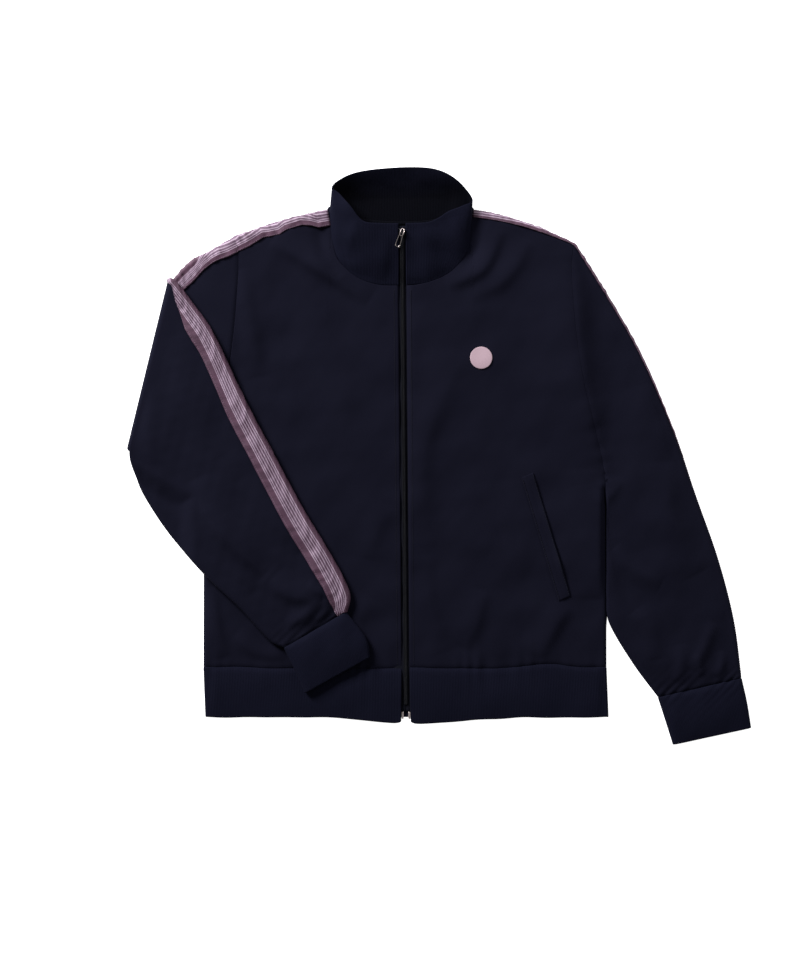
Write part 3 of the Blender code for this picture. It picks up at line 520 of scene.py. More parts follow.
def cloth(name, grid, node, finish, rests_on, wall=WALL, closed=False, spots=None, inner=0.0):
    """A closed wall of cloth about the grid: two skins, and a rim that joins them at the open edges. It rides
    on the jacket in place of its node. The spots are the points' places on the cloth. On the skin that the
    normals point to they lie further across by inner, and a finish tells the two by that."""
    index = wrapped(np.arange(grid[..., 0].size).reshape(grid.shape[:2]), closed)
    quads, edges = wall_of(index, closed)
    spot_quads, spot_edges = wall_of(np.arange(index.size).reshape(index.shape), closed)
    behind = grid[..., 0].size
    rim = np.stack([edges[:, 0], edges[:, 0] + behind, edges[:, 1] + behind, edges[:, 1]], axis=-1)
    every = np.concatenate([quads, quads[:, ::-1] + behind, rim])
    flat = wrapped(grid, closed)
    spots = stacked(run_of(flat, 1), run_of(flat, 0)) if spots is None else spots
    corners = np.concatenate([spot_quads, spot_quads[:, ::-1], spot_edges[:, [0, 0, 1, 1]]]).ravel()
    corners = spots.reshape(-1, 2)[corners]
    corners[: spot_quads.size, 0] += inner
    made = piece_of(name, skins(grid, wall, closed), every, finish, corners, node)
    width, length, area = cut_of(grid, closed)
    min(area, width * length)
    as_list(rests_on)
    return made


MATT = {"Specular_IOR_Level": 0.03, "Sheen_Roughness": 0.45, "Sheen_Tint": rgb(0.55, 0.55, 0.75)}
NAVY_DARK, NAVY_LIGHT = rgb(0.0050, 0.0050, 0.0112), rgb(0.0073, 0.0074, 0.0157)
WALE, COURSE = 1.1, 0.9  # width and height of the knit's loops
KNIT_DEPTH = 0.16


def knit_finish():
    """Matt knit: uneven dye in soft patches and a finer heather. As bump it has columns of loops, whose
    legs lean into a V, and a faint nap."""
    made = Finish("navy_double_knit", "body_knit", Roughness=0.85, Sheen_Weight=0.006, **MATT)
    patches = made.mottle(70.0, 3.0) * 0.6 + made.mottle(0.9, lay=True) * 0.4
    u, v = made.lay()
    across = made.fold(u * (1 / WALE)) * 2.0
    face = (1.0 - across * across) * 0.7 + made.wave(v * (1 / COURSE) + across * 0.5) * 0.3
    height = face * 0.75 + made.mottle(3.0, 3.0) * 0.25
    made.wear(Base_Color=made.mix(patches, NAVY_DARK, NAVY_LIGHT), Normal=made.bump(height, KNIT_DEPTH, 0.55))
    return made


navy = knit_finish()


def zip_x(y):
    """X of the front line at height y."""
    return ZIP_FOOT_X + ZIP_TILT * y


def hem_seam(x):
    """Height of the seam between the panels and the hem band, with its slight waves."""
    line = HEM_TOP
    for height, at, reach in HEM_RISES:
        line = line + height * np.exp(-(((x - at) / reach) ** 2))
    return line + rumple(x, 0 * x, 5, 60, 0.45)


def armhole(side, shares):
    """Plan points up one armhole: side 1 is the wearer's left, and side -1 mirrors it with a higher tip."""
    shares = np.asarray(shares, float)
    points = along(ARMHOLE, shares) * (side, 1)
    points[..., 1] += (side < 0) * RIGHT_TIP_RISE * smooth((shares - 0.55) / 0.45)
    return points


def by_armhole(x, y, side):
    """Distance of each point from one armhole's seam, and millimetres up that seam."""
    away, share = nearest(x, y, armhole(side, np.linspace(0, 1, 24)))
    return away, share * ARM_LENGTH


def shoulder(side, shares):
    """Plan points along one shoulder seam, from the collar to the shoulder tip."""
    corner = COLLAR[LEFT_END if side > 0 else RIGHT_END]
    start = np.array([corner.seam_x + side * NECK_GAP, corner.seam_y])
    end = armhole(side, 1.0)
    shares = np.asarray(shares, float)[..., None]
    return start + (end - start) * shares + np.array([0, SHOULDER_BOW[side]]) * arch(shares)


NECK_MIDDLE = np.array([-5.0, 606.0])


def neck(shares, way=1):
    """Plan points of a panel's neck edge: the collar's seam line moved out by the gap, or in for way -1."""
    seam = curve(COLLAR, shares)[:, :2]
    fine = np.linspace(0, 1, 400)
    slope = np.gradient(curve(COLLAR, fine)[:, :2], axis=0)
    slope = read(shares, fine, slope)
    normal = unit(stacked(slope[:, 1], -slope[:, 0]))
    normal *= np.sign(((seam - NECK_MIDDLE) * normal).sum(axis=1, keepdims=True))
    return seam + way * NECK_GAP * normal


def patch(bottom, top, left, right):
    """Coons patch: a grid of plan points blended from its four edges, whose corners agree."""
    u, v = run_of(bottom), run_of(right)
    u, v = (u / u[-1])[None, :, None], (v / v[-1])[:, None, None]
    across = (1 - v) * bottom[None] + v * top[None] + (1 - u) * left[:, None] + u * right[:, None]
    corners = (1 - v) * ((1 - u) * bottom[0] + u * bottom[-1]) + v * ((1 - u) * top[0] + u * top[-1])
    return across - corners


def lifted(plan, height):
    """Plan points with their heights added."""
    return np.concatenate([plan, np.broadcast_to(height, plan.shape[:-1])[..., None]], axis=-1)


def body_side(side, foot_x, step):
    """Plan points from the hem seam up the side seam and the armhole to the shoulder tip."""
    foot = np.array([foot_x, float(hem_seam(np.array(foot_x))) + SEAM])
    corner = np.array([side * ARMHOLE[0].x, UNDERARM_Y])
    seam = crowded(UNDERARM_Y - HEM_TOP, step)[:-1, None]
    arm = math.dist(ARMHOLE[0], ARMHOLE[-1])
    shares = crowded(arm, step, finish=ROLL_STEPS)
    return np.concatenate([foot + (corner - foot) * seam, armhole(side, shares)])


def front_z(x, y, side):
    """Height of the middle of the front's wall: level, rolled down at the folded edges by a quarter
    ellipse, plus creases, slack, and gathers and grooves at the seams, each faded in from the edges."""
    side_line = [(side * SIDE_X, 0), (side * ARMHOLE[0].x, UNDERARM_Y)]
    folded = side_line, shoulder(side, np.linspace(0, 1, 9))
    beside, below = (np.abs(nearest(x, y, line)[0]) for line in folded)
    away = np.minimum(beside, below)
    z = EDGE_Z + (FRONT_Z - EDGE_Z) * np.sqrt(1 - (1 - np.minimum(away / ROLL, 1)) ** 2)
    above = y - hem_seam(x)
    creases = relief(x, y, LEFT_CREASES if side > 0 else RIGHT_CREASES)
    z += smooth(np.minimum(beside / SIDE_FADE, below / TOP_FADE)) * smooth(above / TOP_FADE) * creases
    z += smooth(away / SLACK_FADE) * slack(x, y)
    arm, up = by_armhole(x, y, side)
    z += pucker(x, above, *HEM_GATHERS) + pucker(up, arm, *ARM_GATHERS)
    return z + groove(above) + groove(arm, *ARM_GROOVE) * smooth(away / SEAM_FADE)


def front_panel(side):
    """One front: from the hem seam to the neck and shoulder, from the zip to the side seam and armhole."""
    corner = LEFT_CORNER if side > 0 else RIGHT_CORNER
    neck_line = neck(np.linspace(1.0 if side > 0 else 0.0, corner, 52))
    neck_line[0, 0] = zip_x(neck_line[0, 1]) + side * ZIP_HALF
    shoulder_line = shoulder(side, crowded(SHOULDER_LENGTH, STEP, finish=ROLL_STEPS))
    neck_line[-1] = shoulder_line[0]
    top = np.concatenate([neck_line, shoulder_line[1:]])
    right = body_side(side, side * SIDE_X, STEP)
    foot = zip_x(HEM_TOP) + side * ZIP_HALF
    even = crowded(SIDE_X, STEP, finish=ROLL_STEPS)
    steps = np.interp(np.linspace(0, 1, len(top)), np.linspace(0, 1, len(even)), even)
    bottom_x = foot + (side * SIDE_X - foot) * steps
    bottom = stacked(bottom_x, hem_seam(bottom_x) + SEAM)
    run = run_of(right)
    left_y = bottom[0, 1] + (top[0, 1] - bottom[0, 1]) * run / run[-1]
    left = stacked(zip_x(left_y) + side * ZIP_HALF, left_y)
    bottom[0], top[0], top[-1] = left[0], left[-1], right[-1]
    plan = patch(bottom, top, left, right)
    return lifted(plan, front_z(plan[..., 0], plan[..., 1], side))


BACK_EXTRA = 0.0038  # share by which the back reaches out under the sleeves' edges, below the underarm
LEFT_EXTRA = 0.0052  # and further under the left sleeve, as far down as it lies beside the body
LEFT_FROM, LEFT_FADE = 112, 22
UNDERARM_CLEAR, UNDERARM_FADE = 6, 16


def back_grid():
    """The back, flat on the floor, from the hem seam to the back neck and both shoulders."""
    right, left = body_side(1, SIDE_X, HIDDEN_STEP), body_side(-1, -SIDE_X, HIDDEN_STEP)
    neck_line = neck(np.linspace(RIGHT_CORNER, LEFT_CORNER, 28), -1)
    shares = crowded(SHOULDER_LENGTH, HIDDEN_STEP)
    ends = shoulder(-1, shares[::-1]), shoulder(1, shares)
    neck_line[0], neck_line[-1] = ends[0][-1], ends[1][0]
    top = np.concatenate([ends[0][:-1], neck_line, ends[1][1:]])
    bottom_x = np.linspace(-SIDE_X, SIDE_X, len(top))
    bottom = stacked(bottom_x, hem_seam(bottom_x) + SEAM)
    plan = patch(bottom, top, left, right)
    x, y = plan[..., 0], plan[..., 1]
    extra = BACK_EXTRA + LEFT_EXTRA * (x > 0) * smooth((y - LEFT_FROM) / LEFT_FADE)
    plan[..., 0] = x * (1 + extra * smooth((UNDERARM_Y + UNDERARM_CLEAR - y) / UNDERARM_FADE))
    return lifted(plan, BACK_Z)


SIDES = (("left", 1), ("right", -1))  # the wearer's
back = cloth("back_cloth", back_grid(), "back_panel", navy, ["floor"])
for name, side in SIDES:
    cloth(f"front_{name}_cloth", front_panel(side), f"front_{name}", navy, [back])

# Hem band. A 1x1 rib, knitted double and folded over, runs once round the jacket from zip to zip. It hangs
# a little lower beside the zip, and the panels' seam gathers lightly onto it.

RIB_WALL = 2.0
HEM_BOTTOM = 0.6
HEM_DIP = 8.5
HEM_DIP_LEFT, HEM_DIP_RIGHT = 91.0, 59.0  # how far the dip reaches on the wearer's left and right
HEM_SHIFT, SHIFT_FADE = 2.5, 100  # the foot of the band lies this far towards the wearer's left
CORNER_RISE, CORNER_REACH = 3.0, 3.5  # rounding of the band's two corners at the zip
LEAN_REACH, SPREAD_REACH = 60, 6  # from the zip, how far the band leans with it and spreads at its foot
BAND_SWELL, BAND_FADE, BAND_GATHERS = 1.6, 12, (11, 19, 0.55, 16)
INNER_FACE_FROM, INNER_SHIFT = 1500.0, 1600.0  # places across a rib from the first one on belong to its inner face

RIB_DARK, RIB_LIGHT = rgb(0.0039, 0.0042, 0.0101), rgb(0.0070, 0.0074, 0.0168)
RIB_PITCH, RIB_COURSE, RIB_DEPTH = 2.0, 1.0, 0.45
# Painted shade deep in the collar's hollow, on the rib's inner face:
HOLLOW_SHADE_REACH = {1: 66.0, 2: 34.0, 3: 0.25, 4: 1.0}  # from this height down to that one, and the shares there


def rib_finish(name, hollow_shade=None):
    """Matt rib: raised columns of stitches with loops along them, and uneven dye, with the columns' crests
    painted lighter than the hollows between them as painted shade. Given the hollow's colours, the inner face
    is painted darker towards its foot: painted shade deep in the collar's hollow."""
    made = Finish(name, "rib_knit", Roughness=0.88, Sheen_Weight=0.005, **MATT)
    u, v = made.lay()
    ribs = made.math("ABSOLUTE", made.math("SINE", u * (math.pi / RIB_PITCH)))
    # Colour share: uneven dye, and the columns' crests lighter than the hollows between them, a painted shade
    # of the rib's relief.
    patches = made.mottle(60.0, 3.0) * 0.5 + ribs * 0.3 + made.mottle(0.9, lay=True) * 0.2
    height = ribs * 0.8 + made.wave(v, RIB_COURSE) * 0.2
    colour = made.mix(patches, RIB_DARK, RIB_LIGHT)
    # Painted shade deep in the collar's hollow: the inner face takes the darker colours, more of them towards
    # its foot.
    if hollow_shade:
        deep = made.node("MapRange", None, {0: v, **HOLLOW_SHADE_REACH})
        colour = made.mix((u > INNER_FACE_FROM) * deep, colour, made.mix(patches, *hollow_shade))
    made.wear(Base_Color=colour, Normal=made.bump(height, RIB_DEPTH, 0.6))
    return made


def rib_spots(grid, closed=False):
    """Places on a rib: across by the mean distance over all rows, so that its columns run straight up."""
    flat = wrapped(grid, closed)
    return stacked(run_of(flat, 1).mean(axis=0), run_of(flat, 0))


def hem_grid():
    """The band from the zip round the right side, across the back and round the left side to the zip."""
    low, high = RIB_WALL / 2, FRONT_Z
    centre, radius = (low + high) / 2, (high - low) / 2
    turn = np.radians(np.linspace(90, -90, 11)[1:-1])
    side = SIDE_X - ROLL / 2
    bend = side + ROLL / 2 * np.cos(turn)
    front = ZIP_HALF + (side - ZIP_HALF) * crowded(side, STEP, finish=(0.0, 2.0))
    back = np.linspace(side, -side, 90)
    x = np.concatenate([front, bend, back, -bend[::-1], -front[::-1]])
    flat = np.ones(len(front))
    bend_z = centre + radius * np.sin(turn)
    z = np.concatenate([flat * high, bend_z, np.full(len(back), low), bend_z[::-1], flat * high])
    on_front = z > centre
    dip_width = np.where(x > 0, HEM_DIP_LEFT, HEM_DIP_RIGHT)
    dip = (HEM_DIP * np.exp(-((x / dip_width) ** 2)) + rumple(x, 0 * x, 6, 70, 0.35)) * on_front
    share = crowded(HEM_TOP, 2.6)[:, None]
    y = (HEM_BOTTOM - dip) + (hem_seam(x) - HEM_BOTTOM + dip) * share
    rounding = np.exp(-((share * HEM_TOP / CORNER_REACH) ** 1.5)) * on_front
    y = y + CORNER_RISE * np.exp(-(np.abs(np.abs(x) - ZIP_HALF) / CORNER_REACH)) * rounding
    lean = np.where(on_front, zip_x(y) * np.clip(1 - np.abs(x) / LEAN_REACH, 0, 1), 0.0)
    lean = lean + HEM_SHIFT * (1 - share) * smooth(np.abs(x) / SHIFT_FADE)
    lean = lean + on_front * np.sign(x) * (1 - share) * np.exp((ZIP_HALF - np.abs(x)) / SPREAD_REACH)
    above = y - hem_seam(x)
    soft = smooth((side - np.abs(x)) / BAND_FADE) * on_front
    swell = BAND_SWELL * arch(share, 0.8) + rumple(x, y, 3, 75, 0.3)
    swell = swell + pucker(x, above, *BAND_GATHERS) + groove(above)
    return stacked(x + lean, y, z + soft * swell)


rib = rib_finish("navy_rib")
grid = tucked(hem_grid()[::-1], 1)[::-1]
cloth("hem_rib", grid, "hem_band", rib, ["floor"], RIB_WALL, spots=rib_spots(grid))

# Collar. The same rib, folded double, stands up round the neck and is sewn to the panels' neck edges. Its
# front leans forward and its back lies down, so the hollow between them shows the inside of the back, on
# which the hollow's shade is painted, darker towards the seam.

COLLAR_FRONT, COLLAR_TALL = 140, 76  # along the seam to each shoulder, and from the seam to the top edge
COLLAR_BOW = 2.0
COLLAR_SAG = 6.5  # the back's middle hangs this far below a straight line from its seam to its top edge
BOWED, SAGGING = (3.5, 1.2), (3.9, 2.0)  # seam height where each begins, and over how much it comes in full
STRAIGHTENED = 0.02  # share of the way round over which the collar's ends follow the zip
DENTED = 6  # the dents lie above this height
BACK_RISE = 3.2  # how much higher the seam allowance lies at the back neck
NECK_REACHES = (4.5, 3.0, 1.0)  # how far from the seam the allowance's rows lie


def collar_grid():
    """Points from the seam to the top edge: straight up the stations, bowed out and softly dented."""
    front = RIGHT_CORNER * crowded(COLLAR_FRONT, 2.2, finish=(0.0, 2.2))
    back = np.linspace(RIGHT_CORNER, LEFT_CORNER, 90)
    t = np.concatenate([front, back[1:-1], 1 - front[::-1]])
    t, v = np.meshgrid(t, crowded(COLLAR_TALL, 2.0))
    row = curve(COLLAR, t)
    low, high = row[..., :3], row[..., 3:]
    grid = low + (high - low) * v[..., None]
    grid[..., 2] += COLLAR_BOW * arch(v) * smooth((low[..., 2] - BOWED[0]) / BOWED[1])
    hollow = COLLAR_SAG * arch(v, 1.2) * smooth((SAGGING[0] - low[..., 2]) / SAGGING[1])
    grid[..., 2] = np.maximum(grid[..., 2] - hollow, RIB_WALL / 2 + 0.1)
    nudge = np.exp(-((np.minimum(t, 1 - t) / STRAIGHTENED) ** 2))
    edge_x = zip_x(grid[..., 1]) + np.where(t < 0.5, -ZIP_HALF, ZIP_HALF)
    grid[..., 0] += nudge * (edge_x - grid[..., 0])
    x, y = grid[..., 0], grid[..., 1]
    lift = relief(x, y, COLLAR_CREASES) * (grid[..., 2] > DENTED)
    lift += rumple(x, y, 8, 40, 0.45) * smooth(v / 0.1) * smooth((grid[..., 2] - 2) / 6)
    grid[..., 2] += lift
    behind = smooth((t[0] - RIGHT_CORNER) / 0.05) * smooth((LEFT_CORNER - t[0]) / 0.05)
    way = neck(t[0]) - neck(t[0], -1)
    move = lifted(unit(way) * (1 - 2 * behind)[:, None], 0.0)
    drop = np.array([0, 0, 1.0]) * (BACK_RISE * behind - TUCK)[:, None]
    return np.concatenate([[grid[0] + drop + move * reach for reach in NECK_REACHES], grid])


COLLAR_CREASES = table(
    Crease,
    (-30, 552, -26, 580, -22, 612, 1.6, 12, 8),
    (30, 552, 27, 585, 24, 616, 1.2, 12, 16),
    (76, 590, 68, 610, 62, 630, 1.2, 9, 6),
    (-72, 580, -68, 604, -60, 626, 1.5, 8, 8),
)

# Painted shade of the collar's hollow: darker colours for the inside of the back, which the rib mixes in most
# towards the seam.
HOLLOW_SHADE = rgb(0.0012, 0.0013, 0.0025), rgb(0.0024, 0.0025, 0.0048)
grid = collar_grid()
neighbours = ["front_left_cloth", "front_right_cloth"]
shaded_rib = rib_finish("navy_rib_hollow_shade", HOLLOW_SHADE)
spots = rib_spots(grid)
cloth("collar_rib", grid, "collar", shaded_rib, neighbours, RIB_WALL, False, spots, INNER_SHIFT)

# Sleeves. Long tubes of the body's knit, pressed flat. The left one lies out beside the body, and the right
# one is turned back at a fold line near the shoulder so that its lower part crosses the front.

Ring = namedtuple("Ring", "over_x over_y under_x under_y thick")
LEFT_SLEEVE = table(
    Ring,  # sections from the armhole to the cuff seam: overarm edge, underarm edge
    (213, 597, 253, 287, 5.75),
    (256, 529, 254.6, 262, 6.4),
    (299, 453, 254.4, 231, 6.4),
    (336.5, 364, 254.4, 190, 6.4),
    (367.5, 276, 254.6, 153, 6.4),
    (394.5, 199, 258.6, 119, 6.6),
    (414, 123, 288, 69, 6.6),
    (424, 50, 320, 26, 6.0),
)
RIGHT_UPPER = table(
    Ring,  # from the armhole to the fold line
    (-213, 606, -253, 287, 5.75),
    (-243, 588.5, -283, 302, 5.75),
    (-271, 573.5, -313, 318, 5.75),
    (-291.5, 551, -346.5, 337, 5.75),
)
RIGHT_LOWER = table(
    Ring,  # from the fold line, over the front, to the cuff seam
    (-291.5, 551, -346.5, 337, 5.75),
    (-269, 522, -345.2, 324, 5.9),
    (-242.5, 483, -339, 305, 6.2),
    (-203.5, 401, -328, 279, 6.5),
    (-173, 343, -296, 231, 6.5),
    (-128.5, 260, -249, 178, 6.5),
    (-95, 205, -208, 139, 6.4),
    (-72, 158, -171, 99, 6.2),
    (-75, 134, -152, 89, 6.0),
)
LEFT_LENGTH, UPPER_LENGTH, LOWER_LENGTH = 590, 95, 470
LEFT_STEPS, RIGHT_STEPS = (104, 34), (52, 100)  # round each sleeve, over its front layer and its back layer
LEFT_CROWN, RIGHT_CROWN, CROWN_FADE = 1.8, 2.2, 30
LEFT_ROWS, LEFT_BENT, RIGHT_BENT = 17, 6, 3  # even sections down a sleeve, and those bent to the armhole
CREASE_FADE, FOLDED_FADE, CUFF_SEAM_FADE = 22, 18, 6  # from a sleeve's folded edges inwards
EDGE_FADE = 10  # the same for what lies beside a seam
LEFT_GATHERS, RIGHT_GATHERS = (17, 13, 0.7, 14), (19, 14, 0.7, 14)  # at the cuffs' seams
FOLD_RADIUS = 4.5
FOLD_TIP = 0.35  # share of the fold's bulge that is left at its underarm end
TERRACE = 7.2  # height that the folded sleeve clears where the body or its own upper part lies under it
TERRACE_MARGIN, TERRACE_RAMP = 9.0, 26.0  # how far out it stays level, and then how far it falls
LAY = 0.4
FIRST_ROWS, BEND_ROWS, LOWER_ROWS = 4.0, 8.0, 16.0  # even sections, the measure of progress down this sleeve

FOLDED_CREASES = table(
    Crease,
    (-264, 300, -234, 238, -168, 176, 5.6, 24, 10),
    (-176, 180, -146, 156, -104, 152, 4.2, 16, 10),
    (-291, 480, -272, 400, -230, 330, 2.6, 22, 16),
    (-206, 300, -166, 250, -128, 214, 2.4, 18, 14),
    (-320, 420, -322, 360, -318, 320, 2.0, 12, 10),
    (-150, 118, -128, 128, -100, 152, 2.6, 8, 7),
    (-122, 170, -104, 158, -86, 160, 2.4, 8, 7),
    (-112, 122, -100, 136, -96, 158, 2.0, 6, 6),
    (-240, 250, -214, 196, -190, 160, 2.0, 14, 12),
)


def spine(rings, shares):
    """At shares of the rings: overarm and underarm points, facing, and half the middle surface's height."""
    at = curve(rings, shares)
    centre = at[:, 4:] / 2
    over = np.concatenate([at[:, 0:2], centre], axis=1)
    under = np.concatenate([at[:, 2:4], centre], axis=1)
    facing = np.tile([0.0, 0.0, 1.0], (len(at), 1))
    return over, under, facing, (at[:, 4] - WALL) / 2


def width_of(parts):
    """Width of a flattened tube at each row."""
    return np.linalg.norm(parts[1] - parts[0], axis=1)[:, None]


def place(parts, away, q):
    """Points of a flattened tube: over + across x away + facing x half height x q, with q from 1 on the
    front layer to -1 on the back."""
    over, under, facing, half = (part[:, None] for part in parts)
    return over + unit(under - over) * away[..., None] + facing * (q * half)[..., None]


def section(parts, front, back):
    """Distances and heights round a flattened tube: so many steps over the front layer, a round edge, and
    back over the back layer. Each edge is half an ellipse."""
    edge = np.array(ROLL_STEPS)[:-1] / ROLL
    rise = np.sqrt(1 - (1 - edge) ** 2)

    def layer(steps):
        """Shares across, rolled distances and heights of one layer, from edge to edge."""
        even = np.linspace(0, 1, steps + 1)
        share = np.concatenate([np.zeros(len(edge)), even, np.ones(len(edge))])
        rolled = np.concatenate([edge * ROLL, np.full(steps + 1, ROLL), 2 * ROLL - edge[::-1] * ROLL])
        return share, rolled, np.concatenate([rise, np.ones(steps + 1), rise[::-1]])

    layers = layer(front), layer(back)
    share, rolled, q = (np.concatenate([first, last[-2:0:-1]]) for first, last in zip(*layers))
    q[len(layers[0][2]) :] *= -1
    return rolled + (width_of(parts) - 2 * ROLL) * share, np.broadcast_to(q, (len(parts[0]), len(q)))


def fit_armhole(grid, parts, away, side, fade):
    """Bends the first rows to the armhole's curve by this fade, row by row."""
    over, under = parts[0][:, None, :2], parts[1][:, None, :2]
    length = np.linalg.norm(under - over, axis=-1)
    share = away / length
    chord = over[:1] + (under[:1] - over[:1]) * share[..., None]
    grid[..., :2] += fade[:, None, None] * (armhole(side, 1 - share) - chord)
    ends = np.exp(-((away / EDGE_FADE) ** 2)) + np.exp(-(((length - away) / EDGE_FADE) ** 2))
    grid[..., 0] += fade[:, None] * side * (ARM_GAP + ARM_EXTRA * ends)
    return grid


def inner_of(parts, away):
    """Distance of each point from the nearer folded edge."""
    return np.minimum(away, width_of(parts) - away)


def left_sleeve_grid(parts, away, q, shares):
    """The left sleeve: a flattened tube bent to the armhole. Its upper layer is crowned a little by a sine
    and has the creases, with gathers and grooves at both seams, which fade out towards the folded edges."""
    fade = 1 - smooth(shares * LEFT_ROWS / LEFT_BENT)
    grid = fit_armhole(place(parts, away, q), parts, away, 1, fade)
    x, y = grid[..., 0], grid[..., 1]
    left = ((1 - shares) * run_of(parts[0])[-1])[:, None]
    inner = inner_of(parts, away)
    arm, up = by_armhole(x, y, 1)
    lift = smooth(inner / CREASE_FADE) * relief(x, y, LEFT_CREASES)
    lift += smooth(inner / SLACK_FADE) * slack(x, y)
    lift += (pucker(up, arm, *ARM_GATHERS) + groove(arm, *ARM_GROOVE)) * smooth(inner / SEAM_FADE)
    lift += (pucker(x - y, left, *LEFT_GATHERS) + groove(left)) * smooth(inner / CUFF_SEAM_FADE)
    crown = LEFT_CROWN * arch(away / width_of(parts)) * (1 - fade[:, None]) * smooth(left / CROWN_FADE)
    grid[..., 2] += np.clip(q, 0, 1) * (lift + crown)
    return grid


LEFT_SHARES = crowded(LEFT_LENGTH, STEP)
left_parts = spine(LEFT_SLEEVE, LEFT_SHARES)
grid = tucked(left_sleeve_grid(left_parts, *section(left_parts, *LEFT_STEPS), LEFT_SHARES), -1, True)
cloth("sleeve_left_cloth", grid, "sleeve_left", navy, ["floor"], closed=True)


def right_spine():
    """The right sleeve's spine: flat to the fold line, half a turn about it, then back over the front. Also
    the progress of each row along it in even sections."""
    first = crowded(UPPER_LENGTH, STEP, finish=(0.0, 2.0))[:-1]
    last = crowded(LOWER_LENGTH, STEP, edge=(0.0, 2.0))
    upper, lower = spine(RIGHT_UPPER, first), spine(RIGHT_LOWER, last)
    fold = spine(RIGHT_UPPER, np.ones(1))
    start, end, _, half = (part[0] for part in fold)
    line = unit(end - start)
    out = np.array([line[1], -line[0], 0.0])
    out *= -np.sign(out[0])
    turn = np.linspace(0, np.pi, 12)[:-1, None]
    up = np.array([0, 0, 1.0])
    bulge, climb = FOLD_RADIUS * out * np.sin(turn), FOLD_RADIUS * up * (1 - np.cos(turn))
    normal = up * np.cos(turn) - out * np.sin(turn)
    bend = start + bulge + climb, end + FOLD_TIP * bulge + climb, normal, np.full(len(turn), half)
    raised = 2 * FOLD_RADIUS * up
    lower = lower[0] + raised, lower[1] + raised, -lower[2], lower[3]
    turned = FIRST_ROWS + BEND_ROWS * turn[:, 0] / np.pi
    progress = np.concatenate([first * FIRST_ROWS, turned, FIRST_ROWS + BEND_ROWS + last * LOWER_ROWS])
    return tuple(np.concatenate(piece) for piece in zip(upper, bend, lower)), progress


def inside(x, y, outline):
    """Whether each point lies inside the closed outline: an odd number of edges lies to its right."""
    found = np.zeros(np.shape(x), bool)
    for (ax, ay), (bx, by) in zip(outline, outline[1:] + outline[:1]):
        crosses = (ay > y) != (by > y)
        found ^= crosses & (x < ax + (y - ay) * (bx - ax) / (by - ay + 1e-12))
    return found


def terrace(x, y):
    """Height that the folded sleeve lies over: level over the body and the upper sleeve, and in an S-curve
    down to the floor beside them."""
    tip, arm, _, fold = RIGHT_UPPER
    body = [(-SIDE_X, UNDERARM_Y), (-SIDE_X, 0.0), (0.0, 0.0), (0.0, 600.0), (tip.over_x, tip.over_y)]
    outline = [(fold.under_x, fold.under_y), (arm.under_x, arm.under_y), *body, (fold.over_x, fold.over_y)]
    away = np.where(inside(x, y, outline), 0.0, np.abs(nearest(x, y, outline, closed=True)[0]))
    return TERRACE * (1 - smooth((away - TERRACE_MARGIN) / TERRACE_RAMP))


def drape(grid, q, half, settle, lift):
    """Sets the folded part's heights: it rests on the terrace, and its upper layer carries the lift."""
    x, y = grid[..., 0], grid[..., 1]
    rest = terrace(x, y) + LAY + WALL / 2 + half * (1 - q) + np.clip(-q, 0, 1) * lift
    grid[..., 2] += (rest - grid[..., 2]) * settle
    return grid


def right_sleeve_grid(parts, away, q, progress):
    """The right sleeve: its upper part bent to the armhole, its lower part draped and crowned."""
    grid = place(parts, away, q)
    inner = inner_of(parts, away)
    flat = progress < FIRST_ROWS
    early = tuple(part[flat] for part in parts)
    grid[flat] = fit_armhole(grid[flat], early, away[flat], -1, 1 - smooth(progress[flat] / RIGHT_BENT))
    x, y = grid[..., 0], grid[..., 1]
    arm, _ = by_armhole(x, y, -1)
    seam = (groove(arm) + rumple(x, y, 3, 75, 0.3)) * smooth(inner / EDGE_FADE)
    grid[..., 2] += np.where(flat[:, None], np.clip(q, 0, 1) * seam, 0.0)
    low = progress >= FIRST_ROWS + BEND_ROWS
    low_parts = tuple(part[low] for part in parts)
    run = run_of(low_parts[0])
    left = (run[-1] - run)[:, None]
    x, y = x[low], y[low]
    lift = smooth(inner[low] / FOLDED_FADE) * relief(x, y, FOLDED_CREASES)
    lift += smooth(inner[low] / SLACK_FADE) * (rumple(x, y, 23, 70, 0.5) + rumple(x, y, 24, 24, 0.1))
    lift += (pucker(x - y, left, *RIGHT_GATHERS) + groove(left)) * smooth(inner[low] / CUFF_SEAM_FADE)
    lift += RIGHT_CROWN * arch(away[low] / width_of(low_parts), 0.8) * smooth(left / CROWN_FADE)
    settle = smooth((progress[low] - FIRST_ROWS - BEND_ROWS) / 3)[:, None]
    grid[low] = drape(grid[low], q[low], low_parts[3][:, None], settle, lift)
    return grid


right_parts, right_progress = right_spine()
grid = tucked(right_sleeve_grid(right_parts, *section(right_parts, *RIGHT_STEPS), right_progress), 1, True)
neighbours = ["front_right_cloth", "floor"]
cloth("sleeve_right_cloth", grid, "sleeve_right", navy, neighbours, closed=True)

# Cuffs. Short tubes of the same rib, knitted double. Each sleeve's wider end is gathered onto its cuff, so
# the cloth puckers beside the seam.

LEFT_CUFF = table(
    Ring,
    (424.2, 48.9, 320.2, 24.9, 6.4),
    (431, 18, 330.5, -7, 7.0),
    (436, -13, 339, -34, 6.4),
)
RIGHT_CUFF = table(
    Ring,
    (-74.4, 133.0, -151.4, 88.0, 6.4),
    (-50, 101, -139, 63, 7.0),
    (-45, 77, -125, 32, 6.4),
)
CUFF_LENGTH = 62
CUFF_SWELL, CUFF_GATHERS = 1.5, (17, 13, 0.6, 14)
SHOWN_STEPS, HIDDEN_STEPS = 50, 30


